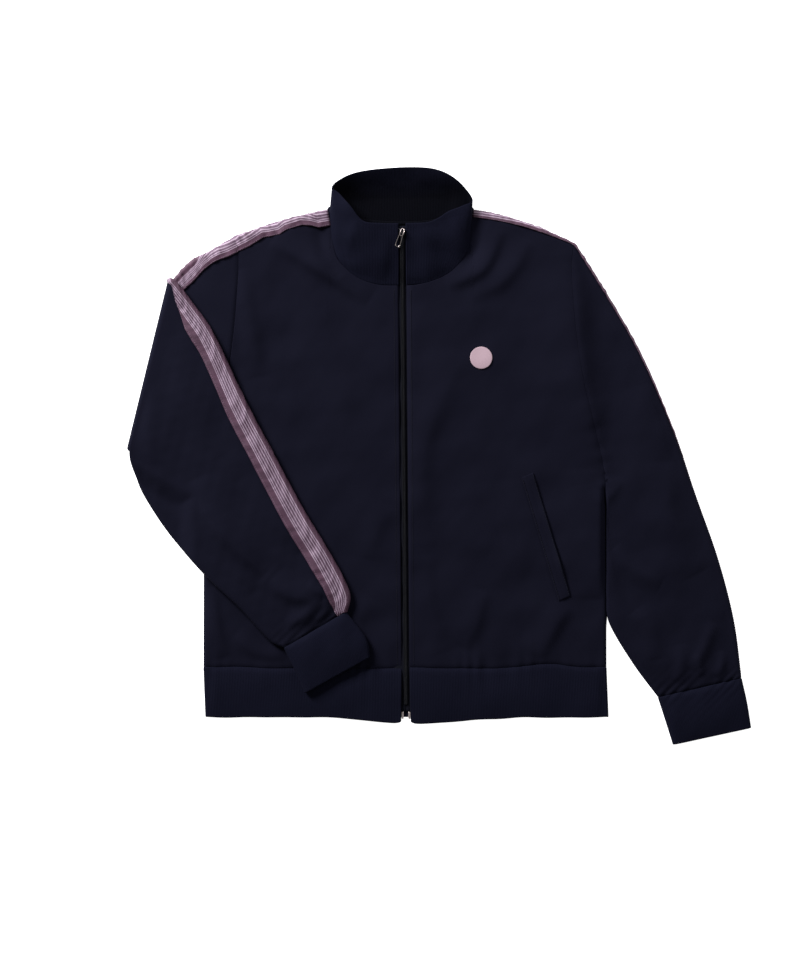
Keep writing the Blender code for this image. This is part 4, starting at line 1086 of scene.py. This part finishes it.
def cuff_grid(rings, draped):
    """A flattened tube that starts at the sleeve's seam and swells a little, on the floor or the front."""
    shares = crowded(CUFF_LENGTH, 2.2)
    parts = spine(rings, shares)
    steps = (HIDDEN_STEPS, SHOWN_STEPS) if draped else (SHOWN_STEPS, HIDDEN_STEPS)
    away, q = section(parts, *steps)
    grid = place(parts, away, q)
    inner = inner_of(parts, away)
    x, y = grid[..., 0], grid[..., 1]
    seam = (shares * CUFF_LENGTH)[:, None]
    lift = CUFF_SWELL * arch(shares, 0.8)[:, None] + rumple(x, y, 31, 45, 0.35)
    lift = smooth(inner / EDGE_FADE) * (lift + pucker(x - y, seam, *CUFF_GATHERS) + groove(seam))
    if draped:
        grid = drape(grid, -q, parts[3][:, None], 1.0, 0.0)
    grid[..., 2] += (RIB_WALL - WALL) / 2 + np.clip(q, 0, 1) * lift
    return grid


for name, rings, draped, under in (
    ("left", LEFT_CUFF, False, ["floor"]),
    ("right", RIGHT_CUFF, True, ["front_right_cloth", "hem_rib"]),
):
    grid = tucked(cuff_grid(rings, draped), -1, True)
    cloth(f"cuff_{name}_rib", grid, f"cuff_{name}", rib, under, RIB_WALL, True, rib_spots(grid, True))

# Braid tape. A mauve woven trim is stitched over each shoulder and down the outside of each sleeve. Inside
# its plain borders runs a pale band with fine light lines. It cockles, most of all on the shoulder.

TRIM_WALL = 1.0
TAPE_LIFT = 0.35
COCKLE = 0.22
CRUMPLED, CRUMPLE_FADE = 190, 60  # the shoulder's crumples reach this far along the tape, and then fade
TAPE_POWER = 1.7  # crowds the tape's columns towards the edge that lies round the fold
TAPE_HEM = (0, 0.015, 0.04)  # shares across of the columns nearest to each edge
TAPE_END = 0.06  # share of its last row's step by which the tape stops short of the cuff
PIN_PITCH, PIN_HALF = 3.3, 0.19  # from one light line to the next, and half a line's share of that
PIN_START = 7.6
BAND_EDGES = (7.2, 21.0)
RIM_LINES = ((6.4, 7.4), (21.0, 22.2))  # the light lines that bound the band


def tape_finish():
    """Woven trim: its stripes follow the distance from the edge, and the weave and the cockles are bump.
    Lighter streaks are painted where the creases' bump is high, a painted highlight of the crumples, mixed
    with random uneven tone and wear."""
    made = Finish("mauve_braid", "braid_tape", Roughness=0.62, Specular_IOR_Level=0.3)
    u, v = made.lay()
    creased = made.mottle(14.0, 3.0, lay=True, stretch=(0.45, 1.6, 1.0))
    # Painted highlight of the crumples: lighter where the creased bump is high.
    crumple_highlight = made.node("MapRange", None, {0: creased, 1: 0.38, 2: 0.62, 3: 0.0, 4: 1.0})
    # Random tone mixed half and half with the painted crumple highlight.
    uneven = made.mottle(12.0, 3.0) * 0.5 + crumple_highlight * 0.5
    border = made.mix(uneven, rgb(0.044, 0.0185, 0.036), rgb(0.108, 0.050, 0.086))
    ground = made.mix(crumple_highlight, rgb(0.064, 0.031, 0.056), rgb(0.150, 0.094, 0.145))
    # The pale lines' colour: random wear mixed with the painted crumple highlight.
    wear_and_highlight = made.mottle(5.0, lay=True, stretch=(1.0, 0.35, 1.0)) * 0.55 + crumple_highlight * 0.45
    light = made.mix(wear_and_highlight, rgb(0.150, 0.096, 0.143), rgb(0.52, 0.40, 0.51))
    pin = made.fold((u - PIN_START) * (1 / PIN_PITCH)) < PIN_HALF
    band = (u > BAND_EDGES[0]) * (u < BAND_EDGES[1])
    bright = (u > RIM_LINES[0][0]) * (u < RIM_LINES[0][1]) + (u > RIM_LINES[1][0]) * (u < RIM_LINES[1][1])
    colour = made.mix(bright, made.mix(band, border, made.mix(pin, ground, light)), light)
    height = made.wave(v, 0.8) * 0.2 + pin * band * 0.3 + creased * 0.5
    made.wear(Base_Color=colour, Normal=made.bump(height, 0.5, 0.7))
    return made


def round_edge(p, half):
    """Distance from the overarm edge and share of the height, p mm round it: plus in front, minus behind."""
    quarter = (ROLL + half) * 0.82  # about the length of a quarter ellipse
    turn = np.clip(p / quarter, -1, 1) * np.pi / 2
    return ROLL * (1 - np.cos(turn)) + np.maximum(np.abs(p) - quarter, 0), np.sin(turn)


def tape_grid(side, parts, make_grid, top, low, columns):
    """The tape's middle surface, row by row over the shoulder and down the overarm, from top to low mm
    round the folded edge, lifted off the cloth along its normals. Also its places across and along it."""
    edge = shoulder(side, SHOULDER_SHARES)
    slope = np.gradient(edge, axis=0)
    inward = unit(stacked(slope[:, 1], -slope[:, 0]) * side)
    count = len(edge)
    behind = np.clip(-low / (top - low), 0, 1)[:, None]
    share = np.concatenate([TAPE_HEM, np.linspace(0, 1, columns)[1:-1], 1 - np.array(TAPE_HEM[::-1])])
    share = (1 - behind) * (1 - (1 - share) ** TAPE_POWER) + behind * share**TAPE_POWER
    p = top[:, None] + (low - top)[:, None] * share
    half = np.concatenate([np.full(count, FRONT_Z - EDGE_Z), parts[3]])[:, None]
    away, q = round_edge(p, half)
    body = edge[:, None] + inward[:, None] * away[:count, :, None]
    body_z = EDGE_Z + (FRONT_Z - EDGE_Z) * np.maximum(q[:count], 0) + np.minimum(p[:count], 0)
    grid = np.concatenate([lifted(body, body_z), make_grid(away[count:], q[count:])])
    grid[-1] += TAPE_END * (grid[-2] - grid[-1])
    across, run = top[:, None] - p, run_of(grid)
    cockle = COCKLE + rumple(run, across * 0.45, 41, 15, 0.3)
    crumple = rumple(run + 0.9 * across, across * 0.9 - 0.4 * run, 43, 13, 0.4)
    cockle += (1 - smooth((run - CRUMPLED) / CRUMPLE_FADE)) * crumple
    lift = (TAPE_LIFT + np.maximum(cockle, 0) * smooth(run / 12)) * smooth((top[:, None] + 1.6) / 3)
    out = WALL / 2 + TRIM_WALL / 2 + lift
    return grid - side * out[..., None] * normals(grid, False), stacked(across, run)


def left_arm(away, q):
    """Points on the left sleeve's front and back layers."""
    return left_sleeve_grid(left_parts, away, q, LEFT_SHARES)


def right_arm(away, q):
    """Points on the right sleeve's front and back layers."""
    return right_sleeve_grid(right_parts, away, q, right_progress)


SHOULDER_SHARES = np.linspace(0.02, 0.97, 46)
SHOULDER_LOW = np.full(len(SHOULDER_SHARES), -0.6)
SHOULDER_PLACES = (0, 0.15, 0.23, 0.32, 0.4, 0.49, 0.57, 0.66, 0.74, 0.83, 0.91, 1.0)
SHOULDER_REACH = (21.0, 20.5, 15.6, 12.5, 13.0, 13.3, 16.6, 15.6, 13.8, 16.5, 18.4, 19.6)
ARM_PLACES = (0, 0.5, 1, 1.4, 1.8, 2.3, 2.8, 4)  # progress down the right sleeve
ARM_REACH = (19.6, 19, 16.5, 16.5, 20, 30, 34, 37)
LOW_PLACES = (4, 8, 12, 12.7, 13.5, 14.3, 15.2, 16.2, 17.2, 24, 26, 27, 28)
LOW_REACH = (-1.3, -3.0, -8.0, -18.0, -24.0, -31.0, -32.5, -31.0, -29.5, -29.5, -27.5, -21.0, -12.5)
FOLDED_REACH = 1.5

NECK_TOP, TIP_TOP, LEFT_LOW = 10, 3.5, -1.4  # the left tape's upper edge on the shoulder, and its lower
TOP_TURN, LOW_TURN = 4.9, 1.8  # how far each of them moves under the sleeve's edge down the arm
under = smooth((LEFT_SHARES - 0.30) / 0.25)
on_shoulder = np.linspace(NECK_TOP, TIP_TOP, len(SHOULDER_SHARES))
left_top = np.concatenate([on_shoulder, TIP_TOP - TOP_TURN * under])
left_low = np.concatenate([SHOULDER_LOW, LEFT_LOW - LOW_TURN * under])
arm_top = np.interp(right_progress, ARM_PLACES, ARM_REACH)
arm_top += (FOLDED_REACH - arm_top) * smooth((right_progress - FIRST_ROWS) / BEND_ROWS)
right_top = np.concatenate([np.interp(SHOULDER_SHARES, SHOULDER_PLACES, SHOULDER_REACH), arm_top])
right_low = np.concatenate([SHOULDER_LOW, np.interp(right_progress, LOW_PLACES, LOW_REACH)])
braid = tape_finish()
braids = []
for name, side, parts, arm, top, low, columns, shift in (
    ("left", 1, left_parts, left_arm, left_top, left_low, 8, 3.5),
    ("right", -1, right_parts, right_arm, right_top, right_low, 20, 0.0),
):
    grid, spots = tape_grid(side, parts, arm, top, low, columns)
    braids.append((grid, -side))
    neighbours = [f"sleeve_{name}_cloth", f"front_{name}_cloth"]
    spots = spots + (shift, 0.0)
    cloth(f"tape_{name}_braid", grid, f"tape_{name}", braid, neighbours, TRIM_WALL, spots=spots)

# Zip. A nylon coil on two woven tapes, dark like the cloth. The tapes are sewn behind the front edges, and
# the zip is closed from the hem to the top of the collar.

ZIP_TAPE_DROP = 1.5  # the tapes lie this far below the middle of the front's wall
ZIP_BOTTOM, ZIP_TOP = 7.5, 619.0
CHAIN_LOW, CHAIN_HIGH = 17.0, 605.5
TAPE_OFFSETS = (0.2, 0.5, 1.0, 2.4, 3.0, 4.5, 6.0, 9.0, 12.5, 13.4, 14.0)  # across each tape
TOOTH_PITCH = 1.3
TURN_SIZE = (3.2, 0.95, 1.5)
TURN_LEAN, TURN_OFFSET, TURN_RISE = 0.22, 0.95, 1.5
CORD_RISE, CORD_AT, CORD_HALF = 0.5, 2.7, 0.5  # the raised cord along each tape, beside the turns


def zip_tape_finish():
    """Dark herringbone tape: slanted weave in bump, a little grey fibre in the colour."""
    made = Finish("zip_weave", "zip_tape", Roughness=0.85, Specular_IOR_Level=0.03)
    u, v = made.lay()
    weave = made.wave(v + made.math("ABSOLUTE", u - 7.0), 1.1)
    fibre = made.mottle(0.8, lay=True)
    colour = made.mix(fibre, rgb(0.0046, 0.0048, 0.0086), rgb(0.0088, 0.0092, 0.0150))
    made.wear(Base_Color=colour, Normal=made.bump(weave, 0.2, 0.7))
    return made


def front_line_z(y):
    """Height of the middle of the wall along the front line, up the body and the collar."""
    foot, head = COLLAR[0].seam_y, COLLAR[0].edge_y
    v = np.clip((y - foot) / (head - foot), 0, 1)
    return FRONT_Z + (COLLAR[0].edge_z - FRONT_Z) * v + COLLAR_BOW * arch(v)


def zip_tape_grid(side):
    """A strip beside the front line, from the chain out under the front, following the line's height."""
    y = np.linspace(ZIP_BOTTOM, ZIP_TOP, 230)[:, None]
    offset = side * np.array(TAPE_OFFSETS)
    cord = CORD_RISE * np.exp(-(((np.abs(offset) - CORD_AT) / CORD_HALF) ** 2))
    return stacked(zip_x(y) + offset, y, front_line_z(y) - ZIP_TAPE_DROP + cord)


def loft(rings, capped):
    """Points and faces that join closed rings; without caps the last ring joins the first."""
    count, around = rings.shape[:2]
    index = wrapped(np.arange(count * around).reshape(count, around), True)
    faces = quads_of(index if capped else np.concatenate([index, index[:1]])).tolist()
    if capped:
        faces += [index[0, -2::-1].tolist(), index[-1, :-1].tolist()]
    return rings.reshape(-1, 3), faces


def copies(name, template, quads, centres, axes, finish, node=None):
    """One mesh of a small template repeated at each centre, turned by a matrix whose rows are its axes."""
    points = centres[:, None] + np.einsum("pk,nkc->npc", template, axes)
    offsets = np.arange(len(centres)) * len(template)
    every = [[corner + offset for corner in face] for offset in offsets.tolist() for face in quads]
    piece_of(name, points.reshape(-1, 3), every, finish, node=node)


def capsule(length, width, height, sides=6):
    """Points and faces of a short rounded bar along X: elliptical rings that shrink towards both ends."""
    rings = np.array([(-0.5, 0.45), (-0.36, 1.0), (0.36, 1.0), (0.5, 0.45)])
    turn = np.arange(sides) * 2 * np.pi / sides
    ring = stacked(0, np.cos(turn) * width / 2, -np.sin(turn) * height / 2)
    return loft(np.array([ring * (1, size, size) + (at * length, 0, 0) for at, size in rings]), True)


def slopes(y):
    """Unit directions up the front line and out of the cloth at heights y."""
    rise = np.gradient(front_line_z(y), y)
    up = unit(stacked(ZIP_TILT, 1.0, rise))
    across = np.array([1.0, -ZIP_TILT, 0.0])
    return np.broadcast_to(across, up.shape), up, np.cross(across, up)


def speckled(name, slot, size, detail, shadow, light, **constants):
    """A finish whose colour is a little uneven, in spots of this size."""
    made = Finish(name, slot, **constants)
    made.wear(Base_Color=made.mix(made.mottle(size, detail), shadow, light))
    return made


zip_weave = zip_tape_finish()
for name, side in SIDES:
    grid = zip_tape_grid(side)
    neighbours = [f"front_{name}_cloth"]
    cloth(f"zip_tape_{name}_cloth", grid, f"zip_tape_{name}", zip_weave, neighbours, TRIM_WALL)

NYLON = rgb(0.0040, 0.0042, 0.0062), rgb(0.0078, 0.0082, 0.0115)
nylon = speckled("zip_nylon", "zip_coil", 9.0, 2.0, *NYLON, Roughness=0.5, Specular_IOR_Level=0.1)
y = np.arange(CHAIN_LOW, CHAIN_HIGH, TOOTH_PITCH / 2)
across, up, out = slopes(y)
way = np.where(np.arange(len(y)) % 2, 1.0, -1.0)[:, None]
lean = unit(across * way + up * TURN_LEAN)
centre = stacked(zip_x(y), y, front_line_z(y) - ZIP_TAPE_DROP + TURN_RISE) + across * way * TURN_OFFSET
axes = np.stack([lean, np.cross(out, lean), out], axis=1)
copies("zip_coil_turns", *capsule(*TURN_SIZE), centre, axes, nylon, "zip_chain")

# Pocket welts. A strip of the body's knit for each slanted pocket, folded double and stitched down along
# both its long sides. It stands up a little along the pocket's mouth.

WELT_WIDTH, WELT_LENGTH = 16.0, 162.0
WELT_FOOT, WELT_HEAD = np.array((201.0, 150.5)), np.array((154.0, 306.0))
WELT_SLANT = 0.12  # how far the ends rise across the strip, as a share of its width
TRIM_LIFT = WALL / 2 + SEAM + TRIM_WALL / 2
GAPE, WIDE_GAPE, WIDE_AT, WIDE_REACH = 1.3, 1.5, 0.27, 0.13  # the mouth's rise, and more of it low down
SINK, SINK_AT, SINK_REACH = 0.4, 0.36, 0.06  # the stitched rows, as shares of the width from the middle


def welt_grid(side):
    """A strip on the front from foot to head, its outer edge a little raised along the pocket mouth."""
    ahead = unit(WELT_HEAD - WELT_FOOT)
    across = np.array([ahead[1], -ahead[0]]) + ahead * WELT_SLANT
    share, offset = np.meshgrid(crowded(WELT_LENGTH, 2.4), crowded(WELT_WIDTH, 1.6) - 0.5, indexing="ij")
    plan = WELT_FOOT + (WELT_HEAD - WELT_FOOT) * share[..., None] + across * WELT_WIDTH * offset[..., None]
    x, y = plan[..., 0] * side, plan[..., 1]
    gape = GAPE + WIDE_GAPE * np.exp(-(((share - WIDE_AT) / WIDE_REACH) ** 2))
    gape = gape * arch(share, 0.5) * smooth((offset - 0.1) / 0.35)
    seam = SINK * np.exp(-(((np.abs(offset) - SINK_AT) / SINK_REACH) ** 2))
    return stacked(x, y, front_z(x, y, side) + TRIM_LIFT + gape - seam)


welts = []
for name, side in SIDES:
    grid = welt_grid(side)
    welts.append((grid, float(np.sign(normals(grid, False)[0, 0, 2]))))
    cloth(f"welt_{name}_cloth", grid, f"welt_{name}", navy, [f"front_{name}_cloth"], TRIM_WALL)

# Chest disc. A plain pink disc of smooth film, 28 mm across, cut out and pressed with heat onto the
# wearer's left chest.

DISC_AT = (96.0, 454.0)
DISC_RADIUS = 14.0


def disc_grid():
    """A square grid squeezed into a circle, laid on the front."""
    edge = (0.0, 0.3, 0.9)
    share = crowded(2 * DISC_RADIUS, 1.4, edge, edge) * 2 - 1
    a, b = np.meshgrid(share, share)
    x = DISC_AT[0] + DISC_RADIUS * a * np.sqrt(1 - b * b / 2)
    y = DISC_AT[1] + DISC_RADIUS * b * np.sqrt(1 - a * a / 2)
    return stacked(x, y, front_z(x, y, 1) + TRIM_LIFT)


film = Finish("pink_film", "patch_print", Roughness=0.55, Specular_IOR_Level=0.3)
grain = film.mottle(1.4)
pink = film.mix(grain, rgb(0.40, 0.28, 0.33), rgb(0.46, 0.33, 0.38))
film.wear(Base_Color=pink, Normal=film.bump(grain, 0.05))
cloth("chest_disc", disc_grid(), "chest_patch", film, ["front_left_cloth"], TRIM_WALL)

# Sewing thread. Spun polyester in rows of lockstitch, navy along the front edges and the welts and mauve
# along both edges of the braid.

STITCH_PITCH, STITCH_LENGTH = 3.1, 2.5
THREAD = 0.55
THREAD_RISE = 0.2  # share of the thread's width by which its middle clears the cloth
EDGE_STITCH = 5.5  # from the zip's edge of a front to its row of stitches
ROW_LOW, ROW_HIGH = 3, 4  # how far that row stays clear of the hem seam and the collar seam


def stitches(name, paths, finish):
    """One mesh of the stitches along paths of points and directions out of the cloth."""
    centres, axes = [], []
    for points, out in paths:
        run = run_of(points)
        at = np.arange(STITCH_PITCH, run[-1] - STITCH_PITCH, STITCH_PITCH)
        centre, out = read(at, run, points), unit(read(at, run, out))
        way = unit(read(at + 0.5, run, points) - centre)
        centres.append(centre + out * THREAD * THREAD_RISE)
        axes.append(np.stack([way, np.cross(out, way), out], axis=1))
    bar, faces = capsule(STITCH_LENGTH, THREAD, THREAD)
    copies(name, bar, faces, np.concatenate(centres), np.concatenate(axes), finish)


def rows_beside(grids, wall):
    """Paths on the outer face of each cloth grid, near both its long edges."""
    for grid, way in grids:
        out = way * normals(grid, False)
        yield from ((grid[:, k] + out[:, k] * wall / 2, out[:, k]) for k in (2, -3))


def front_row(side):
    """A path up one front, beside the zip."""
    y = np.linspace(HEM_TOP + ROW_LOW, COLLAR[0].seam_y - ROW_HIGH, 240)
    x = zip_x(y) + side * (ZIP_HALF + EDGE_STITCH)
    return stacked(x, y, front_z(x, y, side) + WALL / 2), np.tile([0.0, 0.0, 1.0], (len(y), 1))


SPUN = {"Roughness": 0.6, "Specular_IOR_Level": 0.15}
DARK_SPUN = rgb(0.0042, 0.0042, 0.0095), rgb(0.0078, 0.0080, 0.0160)
PALE_SPUN = rgb(0.090, 0.055, 0.080), rgb(0.200, 0.140, 0.190)
navy_thread = speckled("navy_thread", "body_knit", 1.5, 2.0, *DARK_SPUN, **SPUN)
mauve_thread = speckled("mauve_thread", "braid_tape", 1.5, 2.0, *PALE_SPUN, **SPUN)
stitches("front_edge_stitches", [front_row(side) for _, side in SIDES], navy_thread)
stitches("welt_stitches", rows_beside(welts, TRIM_WALL), navy_thread)
stitches("braid_stitches", rows_beside(braids, TRIM_WALL), mauve_thread)

# Slider, pull and end pieces. Cast zinc. A post joins the slider's two dark enamelled plates, and its
# plated bail, a ring of wire, stands over them. The pull, a bent loop of worn wire, hangs in the bail and
# swings. The box and the pin close the zip's foot.

SLIDER_Y = 611.0
SLIDER_HALF = (3.5, 4.5)
SLIDER_LIFT, SLIDER_THICK = 1.1, 2.6
PLATE, PLATE_TAPER = 0.85, 0.09
POST_HALF = (1.3, 1.7)
OVERLAP = 0.2  # how far the post and the bail run into the plates
BAIL_HALF, BAIL_RISE, BAIL_WIRE = (2.2, 4.6), 2.9, 0.5
TAB_LENGTH, TAB_TOP_HALF, TAB_FOOT_HALF = 19.0, 2.0, 3.1
TAB_TOP_CUT, TAB_FOOT_CUT = 0.6, 1.6  # how far the loop's corners are cut off
CORNER_CUT = 0.2  # share of each side that is cut off at either end when a path is rounded
TAB_WIRE, TAB_BEAD, TAB_BEAD_REACH = 0.29, 0.42, 1.6  # its radius, and how it swells at the foot's corners
TAB_SKEW, TAB_DROOP = math.radians(-19), math.radians(6.2)
TAB_PIVOT = SLIDER_LIFT + SLIDER_THICK / 2 + 1.45
END_AT, END_SIZE = (4.35, 2.85, 3.5), (2.7, 8.7, 2.4)


def block(half, low, high, taper=0.0, bevel=0.28, power=0.45):
    """Points and faces of a plate with bevelled edges: a superellipse, wider towards +Y by the taper."""
    turn = np.arange(28) * 2 * np.pi / 28
    plan = [np.sign(f) * np.abs(f) ** power for f in (np.cos(turn), np.sin(turn))]
    rings = []
    for inset, z in ((bevel, low), (0.0, low + bevel), (0.0, high - bevel), (bevel, high)):
        x, y = ((size - inset) * share for size, share in zip(half, plan))
        rings.append(stacked(x * (1 + taper * plan[1]), y, z))
    return loft(np.stack(rings), True)


def wire(path, radius, sides=10):
    """Points and faces of a round bar swept along a closed path that lies in or near one plane."""
    ahead = np.roll(path, -1, axis=0) - np.roll(path, 1, axis=0)
    plane = unit(np.cross(path[1] - path[0], path[len(path) // 2] - path[0]))
    side = unit(np.cross(ahead, plane))
    turn = np.arange(sides) * 2 * np.pi / sides
    ring = np.cos(turn)[:, None] * radius * side[:, None] + np.sin(turn)[:, None] * radius * plane
    return loft(path[:, None] + ring, False)


def rounded(corners, times=3):
    """A closed path in one plane with its corners cut off again and again, so that it runs smoothly."""
    path = np.array([(x, y, 0.0) for x, y in corners])
    for _ in range(times):
        following = np.roll(path, -1, axis=0)
        ends = [path * (1 - cut) + following * cut for cut in (CORNER_CUT, 1 - CORNER_CUT)]
        path = np.stack(ends, axis=1).reshape(-1, 3)
    return path


def joined(parts):
    """Several sets of points and faces as one."""
    points, faces = [], []
    for some, quads in parts:
        start = sum(map(len, points))
        points.append(some)
        faces += [[corner + start for corner in face] for face in quads]
    return np.concatenate(points), faces


def metal_piece(name, shape, matrix, finish, node=None, body="jacket"):
    """The shape's points and faces moved by a 4 x 4 matrix, as a piece with crisp edges."""
    matrix = np.array(matrix)
    made = piece_of(name, shape[0] @ matrix[:3, :3].T + matrix[:3, 3], shape[1], finish, None, node, body)
    made.data.set_sharp_from_angle(angle=math.radians(40))


PLATED = {"Metallic": 0.75, "Specular_IOR_Level": 0.5}
ROSE_DARK, ROSE_LIGHT = rgb(0.66, 0.55, 0.53), rgb(0.90, 0.80, 0.78)
rose_metal = Finish("rose_metal", "pull_metal", **PLATED)
tarnish = rose_metal.mottle(2.5, 3.0)
rose_metal.wear(Base_Color=rose_metal.mix(tarnish, ROSE_DARK, ROSE_LIGHT), Roughness=tarnish * 0.2 + 0.24)
WORN = rgb(0.26, 0.23, 0.22), rgb(0.52, 0.46, 0.45)
worn_metal = speckled("worn_metal", "pull_metal", 2.5, 3.0, *WORN, Roughness=0.3, **PLATED)
DARK = rgb(0.006, 0.006, 0.009), rgb(0.012, 0.012, 0.017)
enamel = speckled("dark_enamel", "pull_metal", 3.0, 2.0, *DARK, Roughness=0.45, Specular_IOR_Level=0.25)

top, foot = SLIDER_LIFT + SLIDER_THICK / 2, SLIDER_LIFT - SLIDER_THICK / 2
casting = joined([
    block(SLIDER_HALF, top - PLATE, top, PLATE_TAPER),
    block(SLIDER_HALF, foot, foot + PLATE, PLATE_TAPER),
    block(POST_HALF, foot + PLATE - OVERLAP, top - PLATE + OVERLAP, 0.0, 0.05),
])
rise = math.atan2(np.diff(front_line_z(SLIDER_Y + np.array([-1.0, 1.0])))[0], 2.0)
slider_at = (zip_x(SLIDER_Y), SLIDER_Y, front_line_z(SLIDER_Y))
to_garment = Matrix.Translation(slider_at) @ Matrix.Rotation(rise, 4, "X")  # its Y runs up the collar
skewed = to_garment @ Matrix.Rotation(TAB_SKEW, 4, "Z")
metal_piece("slider_casting", casting, to_garment, enamel, "slider")
ring = rounded([(x * BAIL_HALF[0], y * BAIL_HALF[1]) for x, y in ((1, 1), (1, -1), (-1, -1), (-1, 1))])
ring[:, 2] = top - OVERLAP + BAIL_RISE * (1 - (ring[:, 1] / BAIL_HALF[1]) ** 2)
metal_piece("slider_bail", wire(ring, BAIL_WIRE), skewed, rose_metal)

right_side = [(TAB_TOP_HALF - TAB_TOP_CUT, 0.0), (TAB_TOP_HALF, -TAB_TOP_CUT)]
right_side += [(TAB_FOOT_HALF, TAB_FOOT_CUT - TAB_LENGTH), (TAB_FOOT_HALF - TAB_FOOT_CUT, -TAB_LENGTH)]
loop = rounded(right_side + [(-x, y) for x, y in reversed(right_side)])
corner = np.hypot(np.abs(loop[:, 0]) - TAB_FOOT_HALF, loop[:, 1] + TAB_LENGTH)
thick = (TAB_WIRE + TAB_BEAD * np.exp(-((corner / TAB_BEAD_REACH) ** 2)))[:, None, None]
hang = to_garment @ Matrix.Translation((0, 0, TAB_PIVOT)) @ Matrix.Rotation(TAB_SKEW, 4, "Z")
hang = hang @ Matrix.Rotation(TAB_DROOP, 4, "X")
metal_piece("pull_wire", wire(loop, thick), hang, worn_metal, "pull_tab", "tab")

for name, side in (("box", 1), ("pin", -1)):
    shape = block((END_SIZE[0] / 2, END_SIZE[1] / 2), -END_SIZE[2] / 2, END_SIZE[2] / 2, 0.0, 0.3, 0.3)
    at = Matrix.Translation((zip_x(END_AT[1]) + side * END_AT[0], END_AT[1], END_AT[2]))
    metal_piece(f"zip_{name}_block", shape, at, rose_metal, f"zip_{name}")
